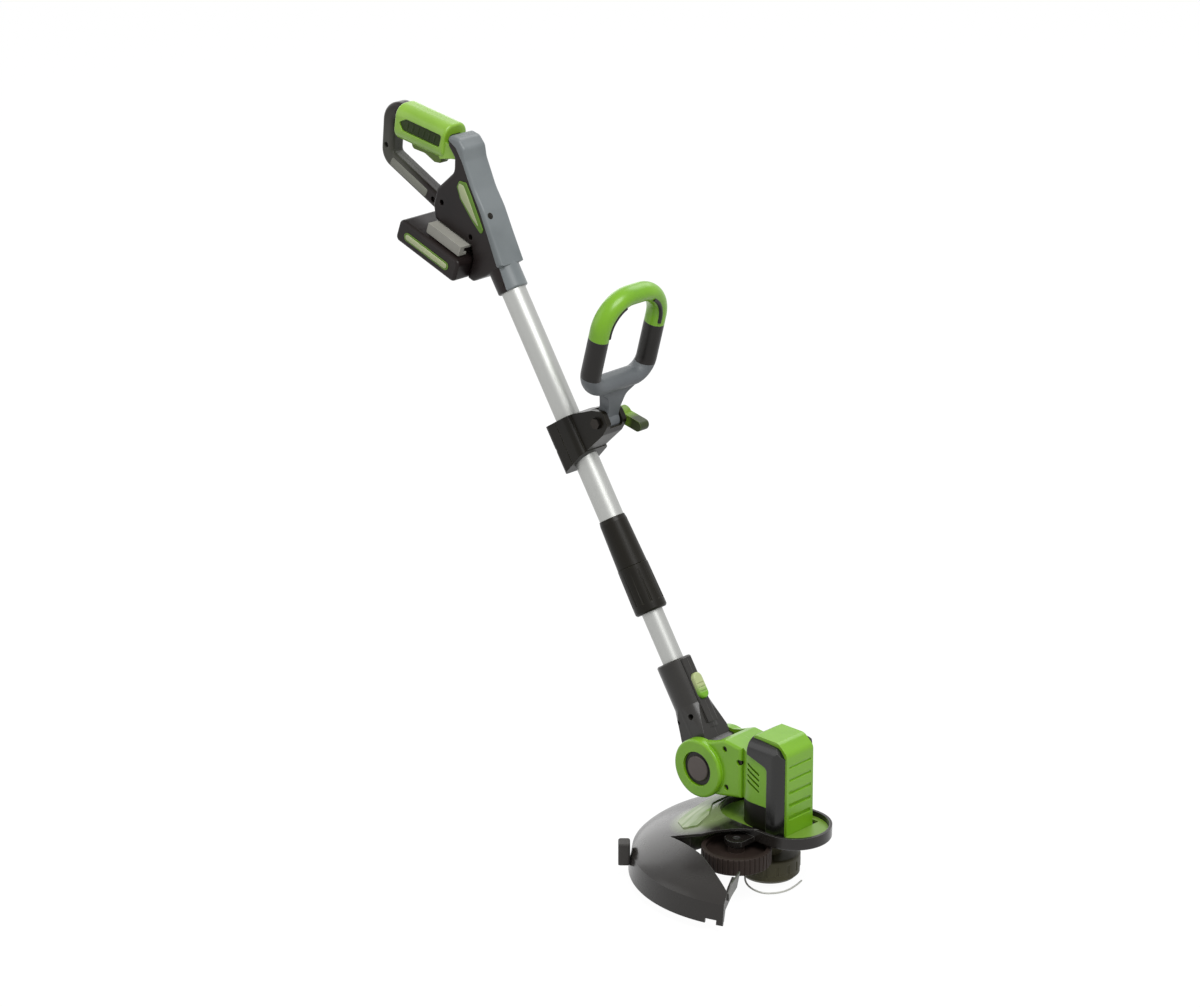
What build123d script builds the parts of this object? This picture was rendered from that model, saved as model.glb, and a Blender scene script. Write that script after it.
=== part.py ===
from build123d import *
import os
from math import cos, sin, radians

os.makedirs("parts", exist_ok=True)

# Frame: +X is the cutting direction, +Y the user's left, +Z up. The origin lies on the spool's axis,
# in the flat bottom face of the spool. All lengths are in millimetres and all angles in degrees.
shaft_tilt = 57.3
pivot_back = 78.0
pivot_up = 109.0
running_fit = 0.05
slide_gap = 0.4
screw_head_r = 2.9
screw_shank_r = 1.5

# Tubes and the twist-lock collar
upper_od = 28.0
upper_wall = 1.5
lower_od = 24.0
lower_wall = 1.4
neck_length = 118.0
lower_shown = 59.0
nut_length = 54.0
sleeve_length = 57.0
upper_shown = 273.0
collar_r_low = 18.4
collar_r_split = 17.2
collar_r_high = 15.6
tube_overlap = 190.0
tube_in_housing = 58.0

# Neck between the lower tube and the head
neck_r = 19.75
neck_start = 35.0
tongue_half = 19.6
tongue_r = 30.0
tube_in_neck = 56.0
ring_width = 9.0
ring_r = 16.0
button_length = 30.0
button_width = 13.0
button_top = 26.5
button_travel = 3.0

# Knuckle and motor housing
cheek_r = 33.0
head_half = 32.0
pivot_pin_r = 5.0
cap_r = 19.0
cap_face_r = 14.6
motor_half_y = 30.0
motor_back = 28.0
motor_front = 39.5
hood_half = 21.5
hood_front = 42.0
motor_top = 166.0
trim_back = 20.0
deck_low = 55.0
deck_high = 69.0
deck_half = 42.0
deck_front = 75.0
deck_rear = 62.0
deck_rim = 3.2
deck_floor = 6.0
motor_can_r = 18.0
motor_can_length = 56.0
rotor_r = 2.5

# Guard, wheel and spool
guard_wall = 2.6
skirt_r = 153.0
skirt_low = 5.0
crease_in = 4.0
crease_up = 28.0
wheel_x = 2.0
wheel_y = -57.0
wheel_r = 38.0
wheel_low = 33.0
wheel_width = 19.0
axle_r = 4.0
spool_r = 34.0
spool_height = 27.0
cap_height = 10.0
hub_r = 14.0
eyelet_up = 16.0
line_d = 2.0

# Loop handle on the shaft
clamp_low = 352.0
clamp_length = 56.0
clamp_r = 20.5
loop_s = 386.0
loop_n = 54.0
loop_lean = 75.0
loop_spread = 88.0
loop_bottom = 50.0
loop_height = 107.0
loop_section = 21.0
loop_boss_r = 11.0
loop_boss_half = 9.0
ear_half = 15.5
bolt_r = 3.0

# Rear handle and battery
sleeve_r = 17.4
body_half = 18.0
bar_thick = 18.0
bar_width = 20.0
grip_length = 74.0
grip_tall = 42.0
grip_wide = 36.0
trigger_width = 12.0
battery_tilt = 20.0
battery_length = 97.0
battery_height = 27.0
battery_width = 76.0
rail_half = 24.0
rail_height = 10.5
foot_half = 31.0
foot_thick = 12.0

# Setting out: the head pivot, the shaft's direction and stations along the shaft from the pivot
pivot = Vector(-pivot_back, 0, pivot_up)
up_shaft = Vector(-cos(radians(shaft_tilt)), 0, sin(radians(shaft_tilt)))
off_shaft = Vector(sin(radians(shaft_tilt)), 0, cos(radians(shaft_tilt)))
shaft_axis = Axis(pivot, up_shaft)
collar_low = neck_length + lower_shown
collar_split = collar_low + nut_length
collar_high = collar_split + sleeve_length
housing_low = collar_high + upper_shown
spigot_length = 17.0
upper_low = collar_split - spigot_length
side = Plane(origin=pivot, x_dir=up_shaft, z_dir=(0, 1, 0))
handle = Plane(origin=pivot + up_shaft * housing_low, x_dir=up_shaft, z_dir=(0, 1, 0))


def across(station):
    return Plane(origin=pivot + up_shaft * station, x_dir=off_shaft, z_dir=up_shaft)


def keep(piece, name):
    piece.part.label = name
    export_step(piece.part, f"parts/{name}.step")


# Upper tube, fixed in the handle
with BuildPart() as upper_tube:
    with BuildSketch(across(upper_low)):
        Circle(upper_od / 2)
        Circle(upper_od / 2 - upper_wall, mode=Mode.SUBTRACT)
    extrude(amount=housing_low + tube_in_housing - upper_low)
keep(upper_tube, "upper_tube")

# Lower tube, sliding inside the upper one
lower_low = neck_length - tube_in_neck
lower_high = upper_low + tube_overlap
with BuildPart() as lower_tube:
    with BuildSketch(across(lower_low)):
        Circle(lower_od / 2)
        Circle(lower_od / 2 - lower_wall, mode=Mode.SUBTRACT)
    extrude(amount=lower_high - lower_low)
keep(lower_tube, "lower_tube")

# Plastic bush on the top end of the lower tube, which runs in the upper tube's bore
with BuildPart() as tube_bush:
    with BuildSketch(across(lower_high - 30)):
        Circle(upper_od / 2 - upper_wall - running_fit)
        Circle(lower_od / 2 + 0.02, mode=Mode.SUBTRACT)
    extrude(amount=30)
keep(tube_bush, "tube_bush")

# Collar sleeve on the end of the upper tube
with BuildPart() as collar_sleeve:
    with BuildSketch(side):
        with BuildLine():
            Polyline(
                (upper_low, upper_od / 2 + 0.02),
                (upper_low, collar_r_split - 1.9),
                (collar_split, collar_r_split - 1.9),
                (collar_split, collar_r_split),
                (collar_high - 5, collar_r_high),
                (collar_high, collar_r_high - 0.9),
                (collar_high, upper_od / 2 + 0.02),
                close=True,
            )
        make_face()
    revolve(axis=shaft_axis)
keep(collar_sleeve, "collar_sleeve")

# Split collet that the nut squeezes on the lower tube
collet_low = collar_low + 9
with BuildPart() as collet:
    with BuildSketch(across(collet_low)):
        Circle(collar_r_split - 2.2)
        Circle(lower_od / 2 + running_fit, mode=Mode.SUBTRACT)
    extrude(amount=upper_low - collet_low)
    with BuildSketch(across(collet_low)):
        with PolarLocations(collar_r_split - 3, 4):
            Rectangle(8, 2)
    extrude(amount=(upper_low - collet_low) * 0.7, mode=Mode.SUBTRACT)
keep(collet, "collet")

# Twist nut with long finger flutes
with BuildPart() as collar_nut:
    with BuildSketch(side):
        with BuildLine():
            Polyline(
                (collar_low, lower_od / 2 + slide_gap),
                (collar_low, collar_r_low - 1.6),
                (collar_low + 2, collar_r_low),
                (collar_low + 8, collar_r_low),
                (collar_split - 0.5, collar_r_split + 0.4),
                (collar_split - 0.5, collar_r_split - 1.6),
                (collet_low - 1.5, collar_r_split - 1.6),
                (collet_low - 1.5, lower_od / 2 + slide_gap),
                close=True,
            )
        make_face()
    revolve(axis=shaft_axis)
    with BuildSketch(across(collar_low + 10)):
        with PolarLocations(collar_r_low + 0.7, 12):
            Circle(1.6)
    extrude(amount=nut_length - 16, mode=Mode.SUBTRACT)
keep(collar_nut, "collar_nut")

# Neck: round barrel on the tube and a flat tongue in the knuckle, moulded as two halves
button_s = neck_length - 36
ring_low = lower_low + 2
flare_top = neck_length - 50
neck_screw_spots = ((neck_length - 14, -15.6, 6.0), (lower_low - 8, 10.0, 12.0), (lower_low - 8, -12.0, 12.0))
with BuildPart() as neck_flare:
    with BuildSketch(side):
        with BuildLine():
            Polyline(
                (-10, 0),
                (flare_top, 0),
                (flare_top, neck_r - 0.3),
                (neck_start - 2, tongue_half + 7),
                (-10, tongue_half + 7),
                close=True,
            )
        make_face()
    revolve(axis=shaft_axis)
    with BuildSketch(side):
        with Locations((flare_top / 2, 0)):
            Rectangle(flare_top, neck_r * 2 - 2)
    extrude(amount=tongue_half, both=True, mode=Mode.INTERSECT)
with BuildPart() as neck_form:
    with BuildSketch(across(neck_start)):
        Circle(neck_r)
    extrude(amount=neck_length - neck_start)
    chamfer(neck_form.edges().group_by(Axis(pivot, up_shaft))[-1], 1.5)
    with BuildSketch(side):
        Circle(tongue_r)
    extrude(amount=tongue_half, both=True)
    add(neck_flare.part)
    with BuildSketch(across(neck_start + 6)):
        with Locations((neck_r - 2.2, 0)):
            RectangleRounded(8.4, 15, 2)
    extrude(amount=neck_length - neck_start - 8)
    with BuildSketch(across(lower_low)):
        Circle(lower_od / 2 + running_fit)
    extrude(amount=tube_in_neck + 1, mode=Mode.SUBTRACT)
    with BuildSketch(across(ring_low - slide_gap)):
        Circle(ring_r + slide_gap)
    extrude(amount=ring_width + 2 * slide_gap, mode=Mode.SUBTRACT)
    with BuildSketch(across(neck_start - 18)):
        Circle(6)
    extrude(amount=lower_low - neck_start + 20, mode=Mode.SUBTRACT)
    with BuildSketch(side):
        Circle(pivot_pin_r + running_fit)
    extrude(amount=tongue_half + 5, both=True, mode=Mode.SUBTRACT)
    button_floor = Plane(
        origin=pivot + up_shaft * button_s + off_shaft * (lower_od / 2 + 1.6), x_dir=up_shaft, z_dir=off_shaft
    )
    with BuildSketch(button_floor):
        SlotOverall(button_length + 2 * slide_gap, button_width + 2 * slide_gap)
    extrude(amount=20, mode=Mode.SUBTRACT)
    for station, offset, depth in neck_screw_spots:
        with BuildSketch(side.offset(-30)):
            with Locations((station, offset)):
                Circle(screw_head_r + 0.4)
        extrude(amount=30 - depth, mode=Mode.SUBTRACT)
        with BuildSketch(side.offset(-30)):
            with Locations((station, offset)):
                Circle(screw_shank_r + 0.05)
        extrude(amount=40, mode=Mode.SUBTRACT)
with BuildPart() as neck_right:
    add(neck_form.part)
    split(bisect_by=Plane.XZ, keep=Keep.TOP)
keep(neck_right, "neck_right")
with BuildPart() as neck_left:
    add(neck_form.part)
    split(bisect_by=Plane.XZ, keep=Keep.BOTTOM)
keep(neck_left, "neck_left")

with BuildPart() as neck_screws:
    for station, offset, depth in neck_screw_spots:
        with BuildSketch(side.offset(-depth)):
            with Locations((station, offset)):
                Circle(screw_head_r)
        extrude(amount=-2.2)
        with BuildSketch(side.offset(-depth)):
            with Locations((station, offset)):
                Circle(screw_shank_r)
        extrude(amount=depth + 8)
keep(neck_screws, "neck_screws")

# Index ring pressed on the end of the lower tube, with two notches half a turn apart
with BuildPart() as index_ring:
    with BuildSketch(across(ring_low)):
        Circle(ring_r)
        Circle(lower_od / 2 + 0.02, mode=Mode.SUBTRACT)
        with PolarLocations(ring_r, 2):
            Rectangle(3, 5, mode=Mode.SUBTRACT)
    extrude(amount=ring_width)
keep(index_ring, "index_ring")

# Edging release button on the front of the neck, with its return spring
button_under = ring_r + button_travel + 0.5
button_seat = pivot + up_shaft * button_s + off_shaft * button_under
button_face = Plane(origin=button_seat, x_dir=up_shaft, z_dir=off_shaft)
with BuildPart() as edging_button:
    with BuildSketch(button_face):
        SlotOverall(button_length, button_width)
    extrude(amount=button_top - button_under)
    fillet(edging_button.edges().group_by(Axis(pivot, off_shaft))[-1], 2.4)
    for step in (-7.0, -2.5, 2.0):
        with BuildSketch(button_face.offset(button_top - button_under - 0.7)):
            with Locations((step, 0)):
                Rectangle(1.6, button_width + 4)
        extrude(amount=4, mode=Mode.SUBTRACT)
keep(edging_button, "edging_button")

spring_foot = pivot + up_shaft * (button_s + 8.5) + off_shaft * (lower_od / 2 + 1.7)
spring_seat = Plane(origin=spring_foot, x_dir=up_shaft, z_dir=off_shaft)
with BuildPart() as button_spring:
    with BuildSketch(spring_seat):
        Circle(3.4)
        Circle(2.6, mode=Mode.SUBTRACT)
    extrude(amount=button_under - lower_od / 2 - 1.8)
keep(button_spring, "button_spring")

# Head: knuckle cheeks, arm and the rear of the motor housing, moulded as two halves
shell_low = 92.0
shell_top = 150.0
slot_half = neck_r + slide_gap
base_low = deck_low + deck_floor
head_screw_spots = ((-43.0, 141.0), (-22.5, 131.0), (-40.0, 97.0))
motor_cavity_r = motor_can_r + 1.2
cavity_low = base_low + 9
cavity_top = cavity_low + motor_can_length + 14

# The trim that frames the hood: plan, front and side outlines cut one form
with BuildPart() as trim_zone:
    with BuildSketch(Plane.XZ):
        with BuildLine():
            FilletPolyline(
                (trim_back, base_low),
                (motor_front, base_low),
                (motor_front, 150),
                (30, 162),
                (-8, 165),
                (-8, 147),
                (trim_back, 138),
                radius=(0, 0, 8, 8, 0, 0, 6),
                close=True,
            )
        make_face()
    extrude(amount=motor_half_y + 8, both=True)
with BuildPart() as hood_form:
    with BuildSketch(Plane.XZ):
        with BuildLine():
            FilletPolyline(
                (hood_front - 8, base_low + 0.5),
                (hood_front, base_low + 0.5),
                (hood_front - 1, motor_top - 10),
                (hood_front - 14, motor_top + 1),
                (-6, motor_top + 1.5),
                (-6, motor_top - 8),
                (hood_front - 8, motor_top - 18),
                radius=(0, 0, 9, 10, 3, 0, 5),
                close=True,
            )
        make_face()
    extrude(amount=hood_half, both=True)
with BuildPart() as hood_frame:
    with BuildSketch(Plane.XY.offset(base_low)):
        with BuildLine():
            FilletPolyline(
                (-8, -motor_half_y - 0.5),
                (motor_front, -motor_half_y - 0.5),
                (motor_front, motor_half_y + 0.5),
                (-8, motor_half_y + 0.5),
                radius=(0, 14, 14, 0),
                close=True,
            )
        make_face()
    extrude(amount=motor_top - base_low)
    with BuildSketch(Plane.YZ.offset(-10)):
        with BuildLine():
            FilletPolyline(
                (-motor_half_y - 0.5, base_low),
                (motor_half_y + 0.5, base_low),
                (motor_half_y + 0.5, motor_top - 1),
                (-motor_half_y - 0.5, motor_top - 1),
                radius=(0, 0, 14, 14),
                close=True,
            )
        make_face()
    extrude(amount=60, mode=Mode.INTERSECT)
    add(trim_zone.part, mode=Mode.INTERSECT)
    add(hood_form.part, mode=Mode.SUBTRACT)
    with BuildSketch(Plane.XY.offset(cavity_low)):
        Circle(motor_cavity_r)
    extrude(amount=cavity_top - cavity_low, mode=Mode.SUBTRACT)
keep(hood_frame, "hood_frame")

# Hood: front and top cover with five louvre steps
with BuildPart() as motor_hood:
    add(hood_form.part)
    for step in range(5):
        with BuildSketch(Plane.XZ):
            with BuildLine():
                Polyline(
                    (hood_front + 0.2, 80 + step * 15),
                    (hood_front - 2.2, 80 + step * 15),
                    (hood_front + 0.2, 86 + step * 15),
                    close=True,
                )
            make_face()
        extrude(amount=hood_half - 3.5, both=True, mode=Mode.SUBTRACT)
keep(motor_hood, "motor_hood")

with BuildPart() as arm_form:
    with BuildSketch(Plane.XZ):
        with BuildLine():
            FilletPolyline(
                (-pivot_back, pivot_up + cheek_r - 2),
                (-62, pivot_up + cheek_r + 2),
                (-44, shell_top + 1),
                (-20, shell_top - 2),
                (-20, 90),
                (-50, 84),
                (-pivot_back, pivot_up - cheek_r + 4),
                radius=(0, 8, 8, 0, 0, 10, 0),
                close=True,
            )
        make_face()
    extrude(amount=head_half - 5.5, both=True)
    fillet(arm_form.edges().group_by(Axis.Y)[-1] + arm_form.edges().group_by(Axis.Y)[0], 3.5)
with BuildPart() as shell_form:
    with BuildSketch(Plane.XZ):
        with Locations((-pivot_back, pivot_up)):
            Circle(cheek_r)
    extrude(amount=head_half, both=True)
    fillet(shell_form.edges().filter_by(GeomType.CIRCLE), 3)
    add(arm_form.part)
    with BuildSketch(Plane.XY.offset(shell_low)):
        Circle(motor_back + 1.5)
        with Locations((trim_back / 2 + 1, 0)):
            Rectangle(trim_back + 2, 2 * motor_back + 3)
    extrude(amount=shell_top - shell_low - 2)
    add(trim_zone.part, mode=Mode.SUBTRACT)
    with BuildSketch(Plane.XY.offset(cavity_low)):
        Circle(motor_cavity_r)
    extrude(amount=cavity_top - cavity_low, mode=Mode.SUBTRACT)
    with BuildSketch(Plane.XZ):
        with Locations((-pivot_back, pivot_up)):
            Circle(tongue_r + 1)
        with BuildLine():
            Polyline(
                (20.6 - pivot_back, pivot_up - 1.8),
                (29.4 - pivot_back, pivot_up + 88),
                (-92 - pivot_back, pivot_up + 90),
                (-92 - pivot_back, pivot_up + 11.5),
                (-7 - pivot_back, pivot_up - 20.4),
                close=True,
            )
        make_face()
    extrude(amount=slot_half, both=True, mode=Mode.SUBTRACT)
    with BuildSketch(Plane.XZ):
        with Locations((-pivot_back, pivot_up)):
            Circle(pivot_pin_r + running_fit)
    extrude(amount=head_half + 2, both=True, mode=Mode.SUBTRACT)
    for face_y in (-head_half, head_half):
        with BuildSketch(Plane.XZ.offset(-face_y)):
            with Locations((-pivot_back, pivot_up)):
                Circle(cap_r + 0.6)
        extrude(amount=4 if face_y > 0 else -4, mode=Mode.SUBTRACT)
        with BuildSketch(Plane.XZ.offset(-face_y)):
            for step in range(4):
                with Locations(Location((0, 131 - step * 6.5, 0), (0, 0, -27))):
                    SlotOverall(20, 2.6)
        extrude(amount=6.5 if face_y > 0 else -6.5, mode=Mode.SUBTRACT)
    for spot_x, spot_z in head_screw_spots:
        with BuildSketch(Plane.XZ.offset(head_half)):
            with Locations((spot_x, spot_z)):
                Circle(screw_head_r + 0.4)
        extrude(amount=-(head_half - 22), mode=Mode.SUBTRACT)
        with BuildSketch(Plane.XZ.offset(head_half)):
            with Locations((spot_x, spot_z)):
                Circle(screw_shank_r + 0.05)
        extrude(amount=-50, mode=Mode.SUBTRACT)
with BuildPart() as motor_housing_right:
    add(shell_form.part)
    split(bisect_by=Plane.XZ, keep=Keep.TOP)
keep(motor_housing_right, "motor_housing_right")
with BuildPart() as motor_housing_left:
    add(shell_form.part)
    split(bisect_by=Plane.XZ, keep=Keep.BOTTOM)
keep(motor_housing_left, "motor_housing_left")

with BuildPart() as head_screws:
    for spot_x, spot_z in head_screw_spots:
        with BuildSketch(Plane.XZ.offset(22)):
            with Locations((spot_x, spot_z)):
                Circle(screw_head_r)
        extrude(amount=2.2)
        with BuildSketch(Plane.XZ.offset(22)):
            with Locations((spot_x, spot_z)):
                Circle(screw_shank_r)
        extrude(amount=-36)
keep(head_screws, "head_screws")

# Black base under the rear housing, which carries the motor
with BuildPart() as motor_base:
    with BuildSketch(Plane.XY.offset(base_low)):
        Circle(motor_back)
        with Locations((trim_back / 2, 0)):
            Rectangle(trim_back, 2 * motor_back)
    extrude(amount=shell_low - base_low)
    add(trim_zone.part, mode=Mode.SUBTRACT)
    add(arm_form.part, mode=Mode.SUBTRACT)
    with BuildSketch(Plane.XY.offset(cavity_low)):
        Circle(motor_cavity_r)
    extrude(amount=40, mode=Mode.SUBTRACT)
    with BuildSketch(Plane.XY.offset(base_low)):
        Circle(6)
    extrude(amount=20, mode=Mode.SUBTRACT)
keep(motor_base, "motor_base")

with BuildPart() as motor_can:
    with BuildSketch(Plane.XY.offset(cavity_low)):
        Circle(motor_can_r)
        Circle(rotor_r + running_fit, mode=Mode.SUBTRACT)
    extrude(amount=motor_can_length)
    chamfer(motor_can.edges().group_by(Axis.Z)[-1].sort_by(SortBy.LENGTH)[-1], 1.5)
keep(motor_can, "motor_can")

# Rotor shaft from the fan down into the spool
rotor_low = 13.0
fan_low = cavity_low + motor_can_length + 1.5
with BuildPart() as rotor_shaft:
    with BuildSketch(Plane.XY.offset(rotor_low)):
        Circle(rotor_r)
    extrude(amount=fan_low + 8 - rotor_low)
keep(rotor_shaft, "rotor_shaft")
with BuildPart() as cooling_fan:
    with BuildSketch(Plane.XY.offset(fan_low)):
        Circle(16)
        Circle(rotor_r + 0.02, mode=Mode.SUBTRACT)
    extrude(amount=1.6)
    with BuildSketch(Plane.XY.offset(fan_low + 1.6)):
        Circle(6)
        with PolarLocations(10.5, 9):
            Rectangle(10, 1.4)
        Circle(rotor_r + 0.02, mode=Mode.SUBTRACT)
    extrude(amount=5.4)
keep(cooling_fan, "cooling_fan")

# Pivot bolt and its two dark caps
with BuildPart() as pivot_bolt:
    with BuildSketch(Plane.XZ):
        with Locations((-pivot_back, pivot_up)):
            Circle(pivot_pin_r)
    extrude(amount=head_half - 4.2, both=True)
with BuildPart() as pivot_caps:
    for face_y in (-head_half, head_half):
        with BuildSketch(Plane.XZ.offset(4 - head_half if face_y > 0 else head_half - 4)):
            with Locations((-pivot_back, pivot_up)):
                Circle(cap_r)
        extrude(amount=-1 if face_y > 0 else 1)
        with BuildSketch(Plane.XZ.offset(4 - head_half if face_y > 0 else head_half - 4)):
            with Locations((-pivot_back, pivot_up)):
                Circle(cap_face_r)
        extrude(amount=-3.4 if face_y > 0 else 3.4)
    rims = pivot_caps.edges().filter_by(GeomType.CIRCLE)
    chamfer(rims.filter_by_position(Axis.Y, head_half - 1.5, head_half), 1.2)
    chamfer(pivot_caps.edges().filter_by_position(Axis.Y, -head_half, 1.5 - head_half), 1.2)
    add(pivot_bolt.part)
keep(pivot_caps, "pivot_caps")

# Guard: dome and skirt turned about the spool axis, cut to its plan, with the deck and the wheel's lug
near_end = -68.0
near_out = Vector(cos(radians(near_end)), sin(radians(near_end)), 0)
near_on = Vector(-near_out.Y, near_out.X, 0)
far_end = 120.0
far_out = Vector(cos(radians(far_end)), sin(radians(far_end)), 0)
crease_r = skirt_r - crease_in
deck_mid = (deck_front - deck_rear) / 2
deck_long = deck_front + deck_rear
with BuildPart() as dome_form:
    with BuildSketch(Plane.XZ):
        with BuildLine():
            top_run = Spline(
                (40, deck_high),
                (crease_r * 0.42, deck_high - 0.8),
                (crease_r * 0.64, deck_high - 13),
                (crease_r * 0.85, deck_high - 26),
                (crease_r - 8, crease_up + 7),
                (crease_r, crease_up),
            )
            Polyline((crease_r, crease_up), (skirt_r, skirt_low), (skirt_r - guard_wall, skirt_low))
            Line((skirt_r - guard_wall, skirt_low), (crease_r - guard_wall, crease_up - 1.5))
            low_run = Spline(
                (crease_r - guard_wall, crease_up - 1.5),
                (crease_r - 9.4, crease_up + 4.6),
                (crease_r * 0.843, deck_high - 28.4),
                (crease_r * 0.633, deck_high - 15.5),
                (crease_r * 0.416, deck_high - 3.5),
                (40, deck_high - 2.6),
            )
            Line((40, deck_high - 2.6), (40, deck_high))
        make_face()
    revolve(axis=Axis.Z)
with BuildPart() as step_wall:
    with BuildSketch(Plane.XY.offset(36)):
        with BuildLine():
            Polyline(
                (wheel_x - 78, wheel_y - 29),
                (wheel_x - 48, wheel_y - 20.5),
                (wheel_x - 45, wheel_y - 6),
                (wheel_x - 45, wheel_y + 8),
                (wheel_x - 38, wheel_y + 22),
                (wheel_x - 40.2, wheel_y + 23),
                (wheel_x - 47.4, wheel_y + 8.6),
                (wheel_x - 47.4, wheel_y - 5.6),
                (wheel_x - 49.9, wheel_y - 18.6),
                (wheel_x - 78.6, wheel_y - 26.7),
                close=True,
            )
        make_face()
    extrude(amount=deck_high - 36)
    with BuildSketch(Plane.XZ):
        with BuildLine():
            Spline(
                (30, deck_high - 1.6),
                (crease_r * 0.418, deck_high - 2.2),
                (crease_r * 0.637, deck_high - 14.3),
                (crease_r * 0.846, deck_high - 27.3),
                (crease_r - 9, crease_up + 5.6),
            )
            Polyline(
                (crease_r - 9, crease_up + 5.6),
                (crease_r - 9, 0),
                (0, 0),
                (0, deck_high - 1.6),
                (30, deck_high - 1.6),
            )
        make_face()
    revolve(axis=Axis.Z, mode=Mode.INTERSECT)
with BuildPart() as guard_shield:
    add(dome_form.part)
    with BuildSketch(Plane.XY):
        with BuildLine():
            Polyline(
                tuple(far_out * 30),
                tuple(far_out * (skirt_r + 47)),
                (-skirt_r - 17, skirt_r + 17),
                (-skirt_r - 17, -skirt_r - 17),
                tuple(near_out * (skirt_r + 27)),
                tuple(near_out * (crease_r - 11)),
                (wheel_x - 10, wheel_y - wheel_r - 7),
                (wheel_x - 70, wheel_y - 29),
                (wheel_x - 33, wheel_y - 19),
                (wheel_x - 12, wheel_y - 4),
                (wheel_x + 16, -deck_half + 4),
                close=True,
            )
        make_face()
    extrude(amount=90, mode=Mode.INTERSECT)
    with BuildSketch(Plane.XY.offset(deck_low)):
        with Locations((deck_mid, 0)):
            SlotOverall(deck_long, 2 * deck_half)
    extrude(amount=deck_high - deck_low)
    deck_rims = guard_shield.edges().filter_by_position(Axis.Z, deck_low - 0.1, deck_low + 0.1)
    fillet(deck_rims.sort_by(SortBy.LENGTH)[-2:], 2)
    with BuildSketch(Plane.XY.offset(base_low)):
        with Locations((deck_mid, 0)):
            SlotOverall(deck_long - 2 * deck_rim, 2 * (deck_half - deck_rim))
    extrude(amount=30, mode=Mode.SUBTRACT)
    with BuildSketch(Plane.XY.offset(deck_low)):
        with Locations((wheel_x, wheel_y)):
            Circle(12)
        with Locations((wheel_x, (wheel_y - deck_half) / 2)):
            Rectangle(24, -wheel_y - deck_half + 12)
    extrude(amount=6)
    add(step_wall.part)
    with BuildSketch(Plane(origin=(0, 0, 0), x_dir=near_out, z_dir=-near_on)):
        with BuildLine():
            Polyline(
                (crease_r - 33, 30),
                (crease_r - 5, 20),
                (crease_r - 0.5, 8),
                (crease_r + 1.8, 8),
                (crease_r - 1.4, 27),
                (crease_r - 19, 39.5),
                (crease_r - 33, 45.5),
                close=True,
            )
        make_face()
    extrude(amount=3)
    with BuildSketch(Plane.XY):
        Circle(hub_r + 2)
    extrude(amount=80, mode=Mode.SUBTRACT)
    with BuildSketch(Plane.XY.offset(deck_low - 5)):
        with Locations((wheel_x, wheel_y)):
            Circle(axle_r)
    extrude(amount=20, mode=Mode.SUBTRACT)
    with BuildSketch(Plane(origin=near_out * skirt_r - near_on * 14, x_dir=near_on, z_dir=(0, 0, 1))):
        Rectangle(13, 20)
    extrude(amount=10, mode=Mode.SUBTRACT)
keep(guard_shield, "guard_shield")

# Green inlays: the deck plate inside the rim and the streaked panel on the dome
panel_thick = 2.2
with BuildPart() as guard_panel:
    with BuildSketch(Plane.XY.offset(base_low)):
        with Locations((deck_mid, 0)):
            SlotOverall(deck_long - 2 * deck_rim - 0.6, 2 * (deck_half - deck_rim) - 0.6)
        Circle(motor_back + 0.4, mode=Mode.SUBTRACT)
        with Locations((hood_front / 2, 0)):
            Rectangle(hood_front + 0.8, 2 * motor_half_y + 1.8, mode=Mode.SUBTRACT)
    extrude(amount=panel_thick)
with BuildPart() as dome_panel:
    add(Pos(0, 0, 1.5) * dome_form.part)
    with BuildSketch(Plane.XY):
        with BuildLine():
            FilletPolyline(
                (-65, 24),
                (-86, 4),
                (-84, -30),
                (-80, -60),
                (-62, -72),
                (-46, -66),
                (-48, -46),
                (-67, -18),
                radius=3,
                close=True,
            )
        make_face()
    extrude(amount=90, mode=Mode.INTERSECT)
    add(dome_form.part, mode=Mode.SUBTRACT)
    add(guard_panel.part)
keep(dome_panel, "guard_panel")

# Rubber bumper on the skirt, and the steel blade that trims the line
lug_way = Vector(-116, -108, 0).normalized()
lug_on = Vector(-lug_way.Y, lug_way.X, 0)
lug_foot = lug_way * (skirt_r + 4.5) + Vector(0, 0, 12)
with BuildPart() as guard_bumper:
    with BuildSketch(Plane(origin=lug_foot, x_dir=lug_way, z_dir=(0, 0, 1))):
        RectangleRounded(13, 18, 3)
    extrude(amount=25)
    fillet(guard_bumper.edges().group_by(Axis.Z)[-1], 2)
    add(dome_form.part, mode=Mode.SUBTRACT)
keep(guard_bumper, "guard_bumper")
with BuildPart() as line_cutter:
    with BuildSketch(Plane(origin=near_on * 0, x_dir=near_out, z_dir=near_on)):
        with BuildLine():
            Polyline(
                (crease_r - 47, -46),
                (crease_r - 21, -44),
                (crease_r - 11, -36),
                (crease_r - 11, -28),
                (crease_r - 37, -32),
                close=True,
            )
        make_face()
    extrude(amount=1.6)
keep(line_cutter, "line_cutter")

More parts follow.
